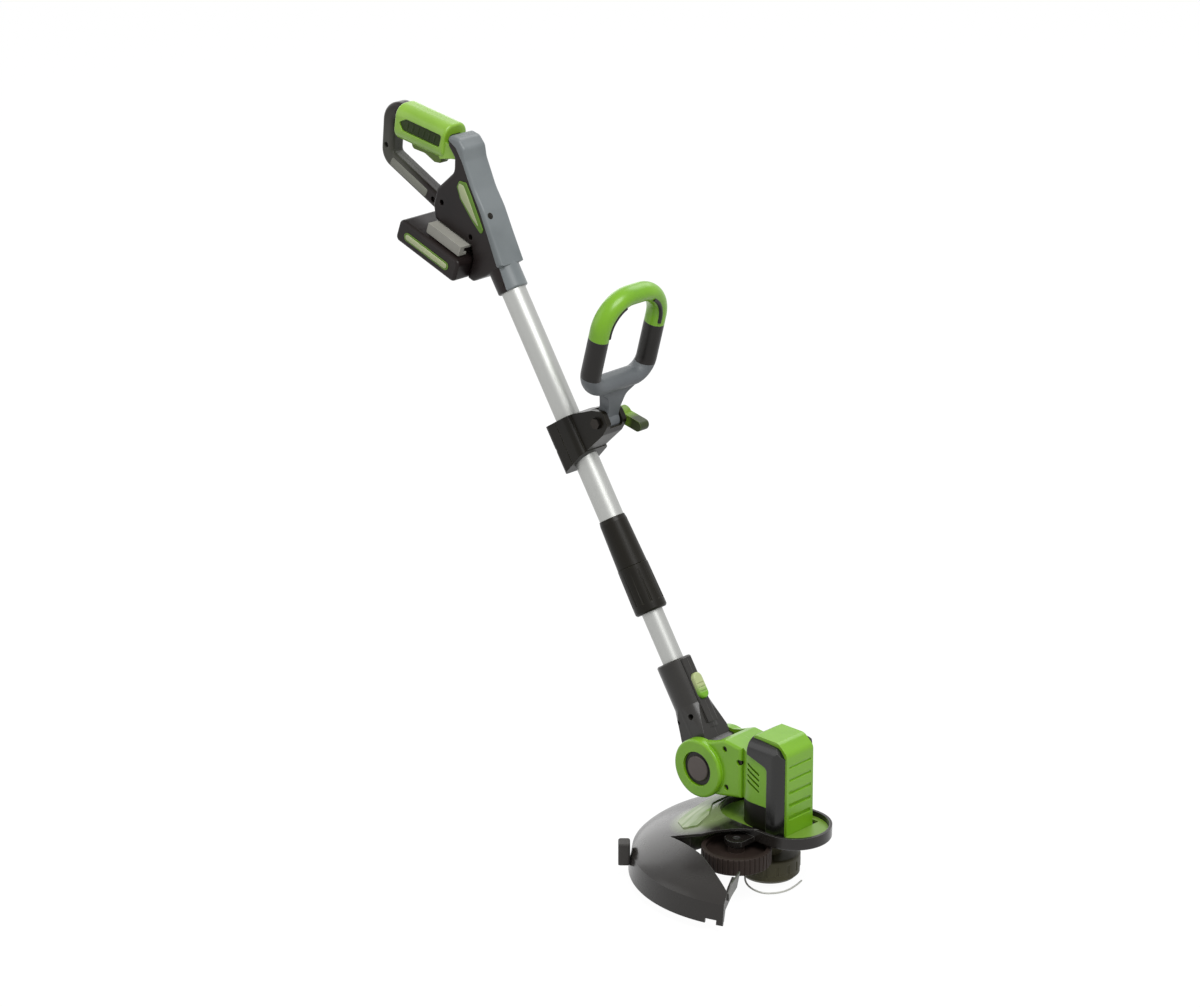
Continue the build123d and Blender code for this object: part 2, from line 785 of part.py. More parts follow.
# Edging wheel on its axle screw
with BuildPart() as edging_wheel:
    with BuildSketch(Plane.XY.offset(wheel_low)):
        with Locations((wheel_x, wheel_y)):
            Circle(wheel_r)
    extrude(amount=wheel_width)
    fillet(edging_wheel.edges().filter_by(GeomType.CIRCLE), 2)
    for floor, depth in ((wheel_low, 6.0), (wheel_low + wheel_width, -6.0)):
        with BuildSketch(Plane.XY.offset(floor)):
            with Locations((wheel_x, wheel_y)):
                Circle(wheel_r - 5)
                Circle(9, mode=Mode.SUBTRACT)
        extrude(amount=depth, mode=Mode.SUBTRACT)
    with BuildSketch(Plane.XY.offset(wheel_low - 1)):
        with Locations((wheel_x, wheel_y)):
            Circle(axle_r + running_fit)
            with PolarLocations(wheel_r, 40):
                Rectangle(2.0, 2.2)
    extrude(amount=wheel_width + 2, mode=Mode.SUBTRACT)
keep(edging_wheel, "edging_wheel")
with BuildPart() as wheel_axle:
    with BuildSketch(Plane.XY.offset(wheel_low - 0.4)):
        with Locations((wheel_x, wheel_y)):
            Circle(7)
    extrude(amount=-3)
    with BuildSketch(Plane.XY.offset(wheel_low - 0.4)):
        with Locations((wheel_x, wheel_y)):
            Circle(axle_r - 0.02)
    extrude(amount=deck_low + 6 - wheel_low)
keep(wheel_axle, "wheel_axle")

# Spool: upper cup with the drive hub, bottom cap, drum, winding, eyelets and the line's free end
drum_r = 29.0
cup_r = drum_r + 1
with BuildPart() as spool_housing:
    with BuildSketch(Plane.XY.offset(cap_height)):
        Circle(spool_r)
    extrude(amount=spool_height - cap_height)
    fillet(spool_housing.edges().group_by(Axis.Z)[-1], 3)
    with BuildSketch(Plane.XY.offset(spool_height)):
        Circle(hub_r)
    extrude(amount=deck_low - spool_height - 3)
    with BuildSketch(Plane.XY.offset(cap_height)):
        Circle(cup_r)
        Circle(6, mode=Mode.SUBTRACT)
    extrude(amount=spool_height - cap_height - 3, mode=Mode.SUBTRACT)
    with BuildSketch(Plane.XY.offset(rotor_low)):
        Circle(rotor_r + 0.02)
    extrude(amount=60, mode=Mode.SUBTRACT)
    with BuildSketch(Plane.XZ):
        with Locations((0, eyelet_up)):
            Circle(3)
    extrude(amount=40, both=True, mode=Mode.SUBTRACT)
    with BuildSketch(Plane.XY.offset(cap_height - 1)):
        with PolarLocations(spool_r + 1.2, 16, start_angle=11):
            Circle(2.2)
    extrude(amount=spool_height - cap_height - 5, mode=Mode.SUBTRACT)
keep(spool_housing, "spool_housing")
with BuildPart() as spool_cap:
    with BuildSketch(Plane.XY):
        Circle(spool_r - 0.6)
    extrude(amount=cap_height)
    chamfer(spool_cap.edges().group_by(Axis.Z)[0], 4)
    with BuildSketch(Plane.XY.offset(4)):
        Circle(cup_r)
    extrude(amount=20, mode=Mode.SUBTRACT)
    with BuildSketch(Plane.XY):
        Circle(20)
        Circle(16, mode=Mode.SUBTRACT)
    extrude(amount=1, mode=Mode.SUBTRACT)
keep(spool_cap, "spool_cap")
with BuildPart() as line_drum:
    with BuildSketch(Plane.XY.offset(4)):
        Circle(drum_r)
    extrude(amount=1.8)
    with BuildSketch(Plane.XY.offset(5.8)):
        Circle(16)
    extrude(amount=14.4)
    with BuildSketch(Plane.XY.offset(20.2)):
        Circle(drum_r)
    extrude(amount=1.8)
    with BuildSketch(Plane.XY.offset(7)):
        Circle(11)
    extrude(amount=20, mode=Mode.SUBTRACT)
keep(line_drum, "line_drum")
with BuildPart() as spool_spring:
    with BuildSketch(Plane.XY.offset(7)):
        Circle(10)
        Circle(8.6, mode=Mode.SUBTRACT)
    extrude(amount=spool_height - 3 - 7)
keep(spool_spring, "spool_spring")
with BuildPart() as line_winding:
    with BuildSketch(Plane.XY.offset(5.8)):
        Circle(25)
        Circle(16, mode=Mode.SUBTRACT)
    extrude(amount=14.4)
keep(line_winding, "line_winding")
with BuildPart() as line_eyelets:
    for way in (-1, 1):
        with BuildSketch(Plane.XZ.offset(-way * (cup_r + 0.8))):
            with Locations((0, eyelet_up)):
                Circle(2.95)
                Circle(1.5, mode=Mode.SUBTRACT)
        extrude(amount=-way * (spool_r - cup_r + 0.6))
keep(line_eyelets, "line_eyelets")

# Free end of the cutting line: out of the near eyelet, then curling under the spool by its own set
line_route = [
    Vector(0, -25.5, eyelet_up),
    Vector(0, -39, eyelet_up),
    Vector(8, -50, 6),
    Vector(26, -46, -1),
    Vector(39, -29, -2.5),
    Vector(42, -8, -2.5),
    Vector(37, 11, -2),
]
bend_radii = []
for here in range(1, len(line_route) - 1):
    run_in = line_route[here] - line_route[here - 1]
    run_out = line_route[here + 1] - line_route[here]
    half_turn = radians(run_in.get_angle(run_out) / 2)
    bend_radii.append(0.45 * min(run_in.length, run_out.length) / (sin(half_turn) / cos(half_turn)))
with BuildPart() as trimmer_line:
    with BuildLine() as line_path:
        FilletPolyline(*line_route, radius=bend_radii)
    with BuildSketch(Plane(origin=line_path.wires()[0] @ 0, z_dir=line_path.wires()[0] % 0)):
        Circle(line_d / 2)
    sweep(path=line_path.wires()[0], transition=Transition.ROUND)
keep(trimmer_line, "trimmer_line")

# Loop handle: a two-piece clamp on the upper tube, with a fork for the loop's boss
loop_pin = pivot + up_shaft * loop_s + off_shaft * loop_n
loop_up = Vector(cos(radians(loop_lean)), 0, sin(radians(loop_lean)))
loop_face = Plane(origin=loop_pin, x_dir=(0, 1, 0), z_dir=Vector(0, 1, 0).cross(loop_up))
clamp_high = clamp_low + clamp_length
clamp_mid = (clamp_low + clamp_high) / 2
clamp_half = clamp_r + 1.5
clamp_slant = 12.0
clamp_seats = [
    Plane(
        origin=pivot + up_shaft * clamp_mid + Vector(0, way * (clamp_half - 4), 0) - off_shaft * 7.5,
        x_dir=up_shaft,
        z_dir=off_shaft,
    )
    for way in (-1, 1)
]
nose_r = 15.0
with BuildPart() as clamp_form:
    with BuildSketch(across(clamp_low)):
        RectangleRounded(2 * clamp_r, 2 * clamp_half, 8)
    extrude(amount=clamp_length)
    with BuildSketch(side):
        with BuildLine():
            Polyline(
                (clamp_low - 9, -clamp_r - 10),
                (clamp_low - 3, -clamp_r - 10),
                (clamp_low + clamp_slant, clamp_r + 1),
                (clamp_low - 9, clamp_r + 1),
                close=True,
            )
        make_face()
    extrude(amount=clamp_half + 5, both=True, mode=Mode.SUBTRACT)
    with BuildSketch(side):
        with BuildLine():
            FilletPolyline(
                (clamp_low + clamp_slant, 0),
                (clamp_high, 0),
                (clamp_high, 22),
                (loop_s + nose_r, loop_n),
                (loop_s + 8, loop_n + nose_r - 1),
                (loop_s - 8, loop_n + nose_r - 1),
                (loop_s - nose_r, loop_n),
                (clamp_low + clamp_slant, 18),
                radius=(0, 0, 10, 6, 6, 6, 10, 10),
                close=True,
            )
        make_face()
    extrude(amount=ear_half, both=True)
    with BuildSketch(across(clamp_low - 2)):
        Circle(upper_od / 2 + running_fit)
    extrude(amount=clamp_length + 4, mode=Mode.SUBTRACT)
    with BuildSketch(side):
        with Locations((loop_s, loop_n)):
            Circle(loop_boss_r + 1.5)
            with Locations((20, 12)):
                Rectangle(50, 42)
            with Locations((-14, 18)):
                Rectangle(40, 20)
    extrude(amount=loop_boss_half + slide_gap, both=True, mode=Mode.SUBTRACT)
    with BuildSketch(side):
        with Locations((loop_s, loop_n)):
            Circle(bolt_r + running_fit)
    extrude(amount=30, both=True, mode=Mode.SUBTRACT)
    for seat in clamp_seats:
        with BuildSketch(seat):
            Circle(screw_head_r + 0.4)
        extrude(amount=-30, mode=Mode.SUBTRACT)
        with BuildSketch(seat):
            Circle(screw_shank_r + 0.07)
        extrude(amount=14.5, mode=Mode.SUBTRACT)
clamp_part = Plane(origin=pivot - off_shaft * 0.4, x_dir=up_shaft, z_dir=off_shaft)
with BuildPart() as clamp_body:
    add(clamp_form.part)
    split(bisect_by=clamp_part.offset(0.8), keep=Keep.TOP)
keep(clamp_body, "clamp_body")
with BuildPart() as clamp_cap:
    add(clamp_form.part)
    split(bisect_by=clamp_part, keep=Keep.BOTTOM)
keep(clamp_cap, "clamp_cap")
with BuildPart() as clamp_screws:
    for seat in clamp_seats:
        with BuildSketch(seat):
            Circle(screw_head_r)
        extrude(amount=-2.2)
        with BuildSketch(seat):
            Circle(screw_shank_r)
        extrude(amount=14)
keep(clamp_screws, "clamp_screws")

# The loop: grey lower frame with the stem, dark posts, and a green grip over the top
loop_top = loop_bottom + loop_height
grip_from = 112.0
base_to = loop_bottom + 14
with BuildPart() as loop_form:
    with BuildLine(loop_face) as loop_path:
        FilletPolyline(
            (loop_spread / 2, loop_bottom),
            (loop_spread / 2, loop_top),
            (-loop_spread / 2, loop_top),
            (-loop_spread / 2, loop_bottom),
            radius=(20, 36, 36, 20),
            close=True,
        )
    loop_wire = loop_path.wires()[0]
    with BuildSketch(Plane(origin=loop_wire @ 0, x_dir=loop_face.z_dir, z_dir=loop_wire % 0)):
        Ellipse(loop_section / 2 + 1.5, loop_section / 2)
    sweep(path=loop_wire)
with BuildPart() as loop_core:
    with BuildLine(loop_face) as core_path:
        FilletPolyline(
            (loop_spread / 2, loop_bottom),
            (loop_spread / 2, loop_top),
            (-loop_spread / 2, loop_top),
            (-loop_spread / 2, loop_bottom),
            radius=(20, 36, 36, 20),
            close=True,
        )
    core_wire = core_path.wires()[0]
    with BuildSketch(Plane(origin=core_wire @ 0, x_dir=loop_face.z_dir, z_dir=core_wire % 0)):
        Circle(loop_section / 2 - 3.5)
    sweep(path=core_wire)
loop_cut = Plane(origin=loop_pin + loop_up * base_to, x_dir=(0, 1, 0), z_dir=loop_up)
grip_cut = Plane(origin=loop_pin + loop_up * grip_from, x_dir=(0, 1, 0), z_dir=loop_up)
with BuildPart() as loop_base:
    add(loop_form.part)
    split(bisect_by=loop_cut, keep=Keep.BOTTOM)
    with BuildSketch(loop_face):
        with BuildLine():
            FilletPolyline(
                (-loop_boss_half, 0),
                (loop_boss_half, 0),
                (loop_boss_half, 18),
                (14, 34),
                (34, loop_bottom - 4),
                (34, loop_bottom + 4),
                (-34, loop_bottom + 4),
                (-34, loop_bottom - 4),
                (-14, 34),
                (-loop_boss_half, 18),
                radius=(0, 0, 8, 10, 3, 3, 3, 3, 10, 8),
                close=True,
            )
        make_face()
    extrude(amount=7, both=True)
    with BuildSketch(Plane(origin=loop_pin, x_dir=up_shaft, z_dir=(0, 1, 0))):
        Circle(loop_boss_r)
    extrude(amount=loop_boss_half, both=True)
    with BuildSketch(Plane(origin=loop_pin, x_dir=up_shaft, z_dir=(0, 1, 0))):
        Circle(bolt_r + running_fit)
    extrude(amount=30, both=True, mode=Mode.SUBTRACT)
keep(loop_base, "loop_base")
with BuildPart() as post_form:
    add(loop_form.part)
    split(bisect_by=loop_cut, keep=Keep.TOP)
with BuildPart() as loop_posts:
    add(post_form.part)
    split(bisect_by=grip_cut, keep=Keep.BOTTOM)
    add(loop_core.part)
    split(bisect_by=loop_cut, keep=Keep.TOP)
keep(loop_posts, "loop_posts")
with BuildPart() as loop_grip:
    add(loop_form.part)
    split(bisect_by=grip_cut, keep=Keep.TOP)
    add(loop_core.part, mode=Mode.SUBTRACT)
keep(loop_grip, "loop_grip")

# Bolt through the fork and the green lever knob on its far end
with BuildPart() as loop_bolt:
    with BuildSketch(Plane(origin=loop_pin, x_dir=up_shaft, z_dir=(0, 1, 0))):
        Circle(bolt_r)
    extrude(amount=ear_half + 12)
    extrude(to_extrude=loop_bolt.faces().sort_by(Axis.Y)[0], amount=ear_half)
    with BuildSketch(Plane(origin=loop_pin - Vector(0, ear_half, 0), x_dir=up_shaft, z_dir=(0, -1, 0))):
        RegularPolygon(6.5, 6)
    extrude(amount=4)
keep(loop_bolt, "loop_bolt")
knob_face = Plane(origin=loop_pin + Vector(0, ear_half + slide_gap, 0), x_dir=up_shaft, z_dir=(0, 1, 0))
with BuildPart() as loop_knob:
    with BuildSketch(knob_face):
        Circle(10)
    extrude(amount=14)
    with BuildSketch(knob_face.offset(3)):
        with Locations(Location((-11, 11, 0), (0, 0, 135))):
            SlotOverall(36, 12)
    extrude(amount=15)
    fillet(loop_knob.edges().group_by(Axis.Y)[-1], 3)
    with BuildSketch(knob_face):
        Circle(bolt_r + running_fit)
    extrude(amount=15, mode=Mode.SUBTRACT)
keep(loop_knob, "loop_knob")

# Rear handle: housing with a closed hand loop, split into two halves and a grey top cover
split_line = ((-6, 6), (30, 9), (60, 14), (89, 18.5), (121, 20.5), (147, 24), (165, 24), (190, 12))
grip_way = Vector(0.668, -0.744).normalized()
grip_start = Vector(177.2, 3.3)
loop_heel = (249.7, -56.5)
loop_toe = (203.3, -92.9)
grip_dir = up_shaft * grip_way.X + off_shaft * grip_way.Y
grip_plane = Plane(origin=handle.from_local_coords(grip_start), x_dir=grip_dir, z_dir=(0, 1, 0))
battery_mid = Vector(80.9, -63.3)
slide_dir = Vector(cos(radians(battery_tilt)), 0, -sin(radians(battery_tilt)))
pack = Plane(origin=handle.from_local_coords(battery_mid), x_dir=slide_dir, z_dir=(0, -1, 0))
pack_top = battery_height / 2
pack_end = battery_length / 2
foot_low = pack_top + 1.5
foot_high = foot_low + foot_thick
foot_rear = -13.0
foot_front = 40.0
stop_low = -11.0
stop_thick = 9.0


def on_handle(along, above):
    spot = handle.to_local_coords(pack.from_local_coords(Vector(along, above, 0)))
    return (spot.X, spot.Y)


with BuildPart() as hand_loop:
    with BuildLine(handle) as bar_path:
        FilletPolyline(
            tuple(grip_start - grip_way * 24),
            loop_heel,
            loop_toe,
            (100, -32.1),
            radius=(15, 13),
        )
    bar_wire = bar_path.wires()[0]
    with BuildSketch(Plane(origin=bar_wire @ 0, x_dir=(0, 1, 0), z_dir=bar_wire % 0)):
        RectangleRounded(bar_width, bar_thick, 5)
    sweep(path=bar_wire)
with BuildPart() as body_form:
    with BuildSketch(handle):
        with BuildLine():
            FilletPolyline(
                (26, 17),
                (60, 20.5),
                (89, 24),
                (114, 24),
                (147, 29),
                (159, 34),
                (172, 32),
                (184, 20),
                (172, 13),
                (157, 14.5),
                (144, 5),
                (139, -30),
                (126, -46),
                on_handle(foot_rear - 4, foot_high),
                on_handle(foot_front + 1, foot_high),
                on_handle(pack_end + 0.6, foot_low - 1),
                on_handle(pack_end + 0.6, stop_low),
                on_handle(pack_end + stop_thick, stop_low),
                (26, -17),
                radius=(0, 60, 40, 40, 14, 8, 8, 6, 4, 5, 12, 10, 4, 2, 0, 2, 1, 4, 4),
                close=True,
            )
        make_face()
    extrude(amount=body_half, both=True)
    rims = body_form.faces().sort_by(Axis.Y)[-1].edges() + body_form.faces().sort_by(Axis.Y)[0].edges()
    fillet(rims, 4)

grip_recess = ((0, 11), (56, 11), (67, 4), (60, -4), (2, -4))
recess_deep = 2.2
trigger_pin = (11.0, -14.0)
trigger_pin_r = 2.5
button_spot = (120.0, -14.0)
housing_screw_spots = ((72.0, -11.0, 11.0), (122.0, -31.0, 11.0), (132.0, -50.6, 5.0), (213.0, -85.5, 5.0))
accent_outline = ((132, 9), (126, 17.5), (112, 17), (71, 12.5), (68, 7), (84, 3), (114, -1), (128, 2))
accent_thick = 2.4
with BuildPart() as rear_form:
    with BuildSketch(across(housing_low)):
        Circle(sleeve_r)
    extrude(amount=96)
    fillet(rear_form.edges().group_by(shaft_axis)[0], 2)
    add(body_form.part)
    add(hand_loop.part)
    with BuildSketch(across(housing_low - 2)):
        Circle(upper_od / 2 + 0.02)
    extrude(amount=tube_in_housing + 2, mode=Mode.SUBTRACT)
    with BuildSketch(across(housing_low)):
        Circle(3.02)
    extrude(amount=tube_in_housing + 40, mode=Mode.SUBTRACT)
    with BuildSketch(pack):
        with Locations((foot_front - 50, foot_high - 30)):
            Rectangle(100, 60)
    extrude(amount=60, both=True, mode=Mode.SUBTRACT)
    with BuildSketch(grip_plane):
        with BuildLine():
            Polyline((5, -40), (61, -40), (61, 1), (40, 1), (5, -7), close=True)
        make_face()
    extrude(amount=trigger_width / 2 + slide_gap, both=True, mode=Mode.SUBTRACT)
    with BuildSketch(grip_plane):
        with Locations(trigger_pin):
            Circle(trigger_pin_r + running_fit)
    extrude(amount=9.1, both=True, mode=Mode.SUBTRACT)
    with BuildSketch(grip_plane):
        with Locations((30, 3)):
            Rectangle(18, 9)
    extrude(amount=5, both=True, mode=Mode.SUBTRACT)
    with BuildSketch(handle.offset(body_half - 10)):
        with Locations(button_spot):
            Circle(7.6)
    extrude(amount=6, mode=Mode.SUBTRACT)
    with BuildSketch(handle):
        with Locations(button_spot):
            Circle(5.5 + slide_gap)
    extrude(amount=body_half + 3, mode=Mode.SUBTRACT)
    for along, off, depth in housing_screw_spots:
        with BuildSketch(handle.offset(-40)):
            with Locations((along, off)):
                Circle(screw_head_r + 0.4)
        extrude(amount=40 - depth, mode=Mode.SUBTRACT)
        with BuildSketch(handle.offset(-40)):
            with Locations((along, off)):
                Circle(screw_shank_r + 0.05)
        extrude(amount=46.5, mode=Mode.SUBTRACT)
    for way in (-1, 1):
        with BuildSketch(handle.offset(way * (bar_width / 2 - 1.2))):
            with Locations(Location((168, -72.1, 0), (0, 0, -30.5))):
                SlotOverall(40, 6)
        extrude(amount=way * 5, mode=Mode.SUBTRACT)
        with BuildSketch(handle.offset(way * (body_half - accent_thick / 2))):
            with BuildLine():
                FilletPolyline(*accent_outline, radius=2.2, close=True)
            make_face()
        extrude(amount=way * 5, mode=Mode.SUBTRACT)
with BuildPart() as cover_zone:
    with BuildSketch(handle):
        with BuildLine():
            Polyline(*split_line, (200, 60), (-6, 60), close=True)
        make_face()
    extrude(amount=40, both=True)
with BuildPart() as top_cover:
    add(rear_form.part)
    add(cover_zone.part, mode=Mode.INTERSECT)
keep(top_cover, "top_cover")
with BuildPart() as lower_form:
    add(rear_form.part)
    add(cover_zone.part, mode=Mode.SUBTRACT)
with BuildPart() as housing_right:
    add(lower_form.part)
    split(bisect_by=Plane.XZ, keep=Keep.TOP)
keep(housing_right, "housing_right")
with BuildPart() as housing_left:
    add(lower_form.part)
    split(bisect_by=Plane.XZ, keep=Keep.BOTTOM)
keep(housing_left, "housing_left")

with BuildPart() as housing_screws:
    for along, off, depth in housing_screw_spots:
        with BuildSketch(handle.offset(-depth)):
            with Locations((along, off)):
                Circle(screw_head_r)
        extrude(amount=-2.2)
        with BuildSketch(handle.offset(-depth)):
            with Locations((along, off)):
                Circle(screw_shank_r)
        extrude(amount=depth + 6)
keep(housing_screws, "housing_screws")

with BuildPart() as side_accents:
    for way in (-1, 1):
        with BuildSketch(handle.offset(way * (body_half - accent_thick / 2))):
            with BuildLine():
                FilletPolyline(*accent_outline, radius=2.2, close=True)
            make_face()
        extrude(amount=way * accent_thick)
    fillet(side_accents.edges().group_by(Axis.Y)[-1] + side_accents.edges().group_by(Axis.Y)[0], 0.8)
keep(side_accents, "side_accents")

# Green soft grip moulded over the top bar and down the front of the hand opening
grip_back = grip_plane.from_local_coords(Vector(-4, 0, 0))
apron_outline = ((-25, 4), (-25, -9), (-10, -13), (3, -18), (3, 4))
with BuildPart() as rear_grip:
    with BuildSketch(Plane(origin=grip_back, x_dir=(0, 1, 0), z_dir=grip_dir)):
        with Locations((0, -2)):
            RectangleRounded(grip_wide, grip_tall, 14)
    extrude(amount=grip_length + 4)
    grip_ends = rear_grip.edges().group_by(Axis(grip_plane.origin, grip_dir))
    fillet(grip_ends[0] + grip_ends[-1], 3)
    with BuildSketch(grip_plane):
        with BuildLine():
            FilletPolyline(*apron_outline, radius=(0, 4, 6, 2, 0), close=True)
        make_face()
    extrude(amount=grip_wide / 2 - 3, both=True)
    for way in (-1, 1):
        with BuildSketch(grip_plane.offset(way * (grip_wide / 2 - recess_deep))):
            with BuildLine():
                FilletPolyline(*grip_recess, radius=3, close=True)
            make_face()
        extrude(amount=way * 6, mode=Mode.SUBTRACT)
    add(body_form.part, mode=Mode.SUBTRACT)
    add(hand_loop.part, mode=Mode.SUBTRACT)
    with BuildSketch(grip_plane):
        with BuildLine():
            Polyline((5, -50), (61, -50), (61, 1), (5, -7), close=True)
        make_face()
    extrude(amount=trigger_width / 2 + slide_gap, both=True, mode=Mode.SUBTRACT)
    with BuildSketch(grip_plane):
        with Locations(trigger_pin):
            Circle(trigger_pin_r + running_fit)
    extrude(amount=9.1, both=True, mode=Mode.SUBTRACT)
keep(rear_grip, "rear_grip")

with BuildPart() as trigger:
    with BuildSketch(grip_plane):
        with BuildLine():
            FilletPolyline(
                (7, -9),
                (55, -9),
                (58, -15),
                (53, -25),
                (34, -24),
                (18, -29),
                (8, -27),
                radius=(2, 2, 3, 5, 10, 5, 3),
                close=True,
            )
        make_face()
    extrude(amount=trigger_width / 2, both=True)
    fillet(trigger.edges().group_by(Axis.Y)[-1] + trigger.edges().group_by(Axis.Y)[0], 1.2)
    with BuildSketch(grip_plane):
        with Locations(trigger_pin):
            Circle(trigger_pin_r)
    extrude(amount=9, both=True)
keep(trigger, "trigger")
spring_base = grip_plane.from_local_coords(Vector(50, -9, 0))
with BuildPart() as trigger_spring:
    with BuildSketch(Plane(origin=spring_base, x_dir=grip_dir, z_dir=grip_plane.y_dir)):
        Circle(3)
        Circle(2.2, mode=Mode.SUBTRACT)
    extrude(amount=7.95)
keep(trigger_spring, "trigger_spring")
with BuildPart() as switch_body:
    with BuildSketch(grip_plane):
        with Locations((30, 4.4)):
            Rectangle(17.6, 6)
        with Locations((27, 0.4)):
            Rectangle(3, 3)
    extrude(amount=4.8, both=True)
keep(switch_body, "switch_body")
with BuildPart() as lock_button:
    with BuildSketch(handle.offset(body_half - 6)):
        with Locations(button_spot):
            Circle(7.2)
    extrude(amount=1.6)
    with BuildSketch(handle.offset(body_half - 4.4)):
        with Locations(button_spot):
            Circle(5.5)
    extrude(amount=7.9)
    fillet(lock_button.edges().group_by(Axis.Y)[-1], 1.2)
keep(lock_button, "lock_button")

# Power lead from the handle down the bore of the tubes
with BuildPart() as power_lead:
    with BuildSketch(across(collar_high + 40)):
        Circle(3)
    extrude(amount=housing_low + tube_in_housing + 36 - collar_high - 40)
keep(power_lead, "power_lead")

# Grey battery foot under the housing, with its rail channel and contact blades
with BuildPart() as battery_foot:
    with BuildSketch(pack):
        with BuildLine():
            Polyline(
                (foot_rear, foot_low),
                (foot_front, foot_low),
                (foot_front, foot_high),
                (foot_rear, foot_high),
                close=True,
            )
        make_face()
    extrude(amount=foot_half, both=True)
    fillet(battery_foot.edges().filter_by(Axis.Y).group_by(Axis.X)[0], 2)
    with BuildSketch(pack):
        with Locations((0, foot_low + 1.5)):
            Rectangle(120, 12)
    extrude(amount=rail_half - 5 + slide_gap, both=True, mode=Mode.SUBTRACT)
    with BuildSketch(pack):
        with Locations((0, foot_low + 6.2)):
            Rectangle(120, 5.8)
    extrude(amount=rail_half + slide_gap, both=True, mode=Mode.SUBTRACT)
keep(battery_foot, "battery_foot")

with BuildPart() as battery_case:
    with BuildSketch(pack):
        RectangleRounded(battery_length, battery_height, 6)
    extrude(amount=battery_width / 2, both=True)
    fillet(battery_case.edges().group_by(Axis.Y)[-1] + battery_case.edges().group_by(Axis.Y)[0], 3.5)
    for way in (-1, 1):
        with BuildSketch(pack.offset(way * (battery_width / 2 - 1))):
            with Locations((0, -1)):
                SlotOverall(72, 10)
        extrude(amount=way * 4, mode=Mode.SUBTRACT)
    with BuildSketch(pack):
        with Locations(*[(step * 18.1 - 36.2, -0.5) for step in range(5)]):
            Circle(9.02)
    extrude(amount=32.6, both=True, mode=Mode.SUBTRACT)
    with BuildSketch(pack):
        with Locations((foot_rear - 4.5, 14)):
            Rectangle(7.8, 10)
    extrude(amount=14.4, both=True, mode=Mode.SUBTRACT)
with BuildPart() as battery_cells:
    for step in range(5):
        with BuildSketch(pack):
            with Locations((step * 18.1 - 36.2, -0.5)):
                Circle(9)
        extrude(amount=32.5, both=True)
keep(battery_cells, "battery_cells")
with BuildPart() as battery_stripes:
    for way in (-1, 1):
        with BuildSketch(pack.offset(way * (battery_width / 2 - 1))):
            with Locations((0, -1)):
                SlotOverall(71.8, 9.8)
        extrude(amount=way * 1.6)
keep(battery_stripes, "battery_stripes")
rail_long = foot_front - foot_rear - 3
rail_mid = (foot_front + foot_rear - 1) / 2
with BuildPart() as battery_rails:
    with BuildSketch(pack):
        with Locations((rail_mid, pack_top + 2.8)):
            Rectangle(rail_long, 5.6)
    extrude(amount=rail_half - 5, both=True)
    with BuildSketch(pack):
        with Locations((rail_mid, pack_top + 7.9)):
            Rectangle(rail_long, 4.6)
    extrude(amount=rail_half, both=True)
    for spread in (-11, 0, 11):
        with BuildSketch(pack.offset(spread)):
            with Locations((28, pack_top + 8)):
                Rectangle(24, 10)
        extrude(amount=1.6, both=True, mode=Mode.SUBTRACT)
    add(battery_case.part)
keep(battery_rails, "battery_case")
with BuildPart() as contact_blades:
    for spread in (-11, 0, 11):
        with BuildSketch(pack.offset(spread)):
            with Locations((28, pack_top + 7.1)):
                Rectangle(16, 7)
        extrude(amount=0.8, both=True)
keep(contact_blades, "contact_blades")
with BuildPart() as battery_latch:
    with BuildSketch(pack):
        with BuildLine():
            FilletPolyline(
                (foot_rear - 8, pack_top - 1),
                (foot_rear - 1, pack_top - 1),
                (foot_rear - 1, pack_top + 5),
                (foot_rear - 6, pack_top + 5),
                radius=1.2,
                close=True,
            )
        make_face()
    extrude(amount=14, both=True)
keep(battery_latch, "battery_latch")
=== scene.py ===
import bmesh
import bpy
from math import cos, sin, radians
from mathutils import Matrix, Vector


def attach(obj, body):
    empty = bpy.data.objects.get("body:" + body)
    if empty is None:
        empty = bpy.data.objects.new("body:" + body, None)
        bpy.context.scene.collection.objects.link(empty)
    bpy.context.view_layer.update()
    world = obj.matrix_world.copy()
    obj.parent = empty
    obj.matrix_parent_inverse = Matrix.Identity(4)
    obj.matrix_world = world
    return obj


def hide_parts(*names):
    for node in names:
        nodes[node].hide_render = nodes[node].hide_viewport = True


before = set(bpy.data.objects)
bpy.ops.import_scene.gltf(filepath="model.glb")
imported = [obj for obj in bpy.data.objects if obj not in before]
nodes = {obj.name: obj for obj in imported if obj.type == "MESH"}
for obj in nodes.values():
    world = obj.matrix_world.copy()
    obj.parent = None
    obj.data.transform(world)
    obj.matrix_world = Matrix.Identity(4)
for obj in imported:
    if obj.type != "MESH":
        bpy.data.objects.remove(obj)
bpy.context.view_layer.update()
bpy.ops.object.select_all(action="DESELECT")
scene = bpy.context.scene
print("frame loaded:", len(nodes), "nodes")

# Shared places, in metres: the head's pivot, the way up the shaft and the way off it in the side view
shaftTilt = radians(57.3)
pivot = Vector((-0.078, 0, 0.109))
upShaft = Vector((-cos(shaftTilt), 0, sin(shaftTilt)))
offShaft = Vector((sin(shaftTilt), 0, cos(shaftTilt)))
sideways = Vector((0, 1, 0))
bothSides = ((-1, "right"), (1, "left"))


def onShaft(along, off=0.0):
    return pivot + upShaft * along + offShaft * off


handleAt = onShaft(0.561)  # lower end of the rear housing
loopPin = onShaft(0.386, 0.054)  # bolt that the loop tilts on


def onHandle(along, off):
    return handleAt + upShaft * along + offShaft * off


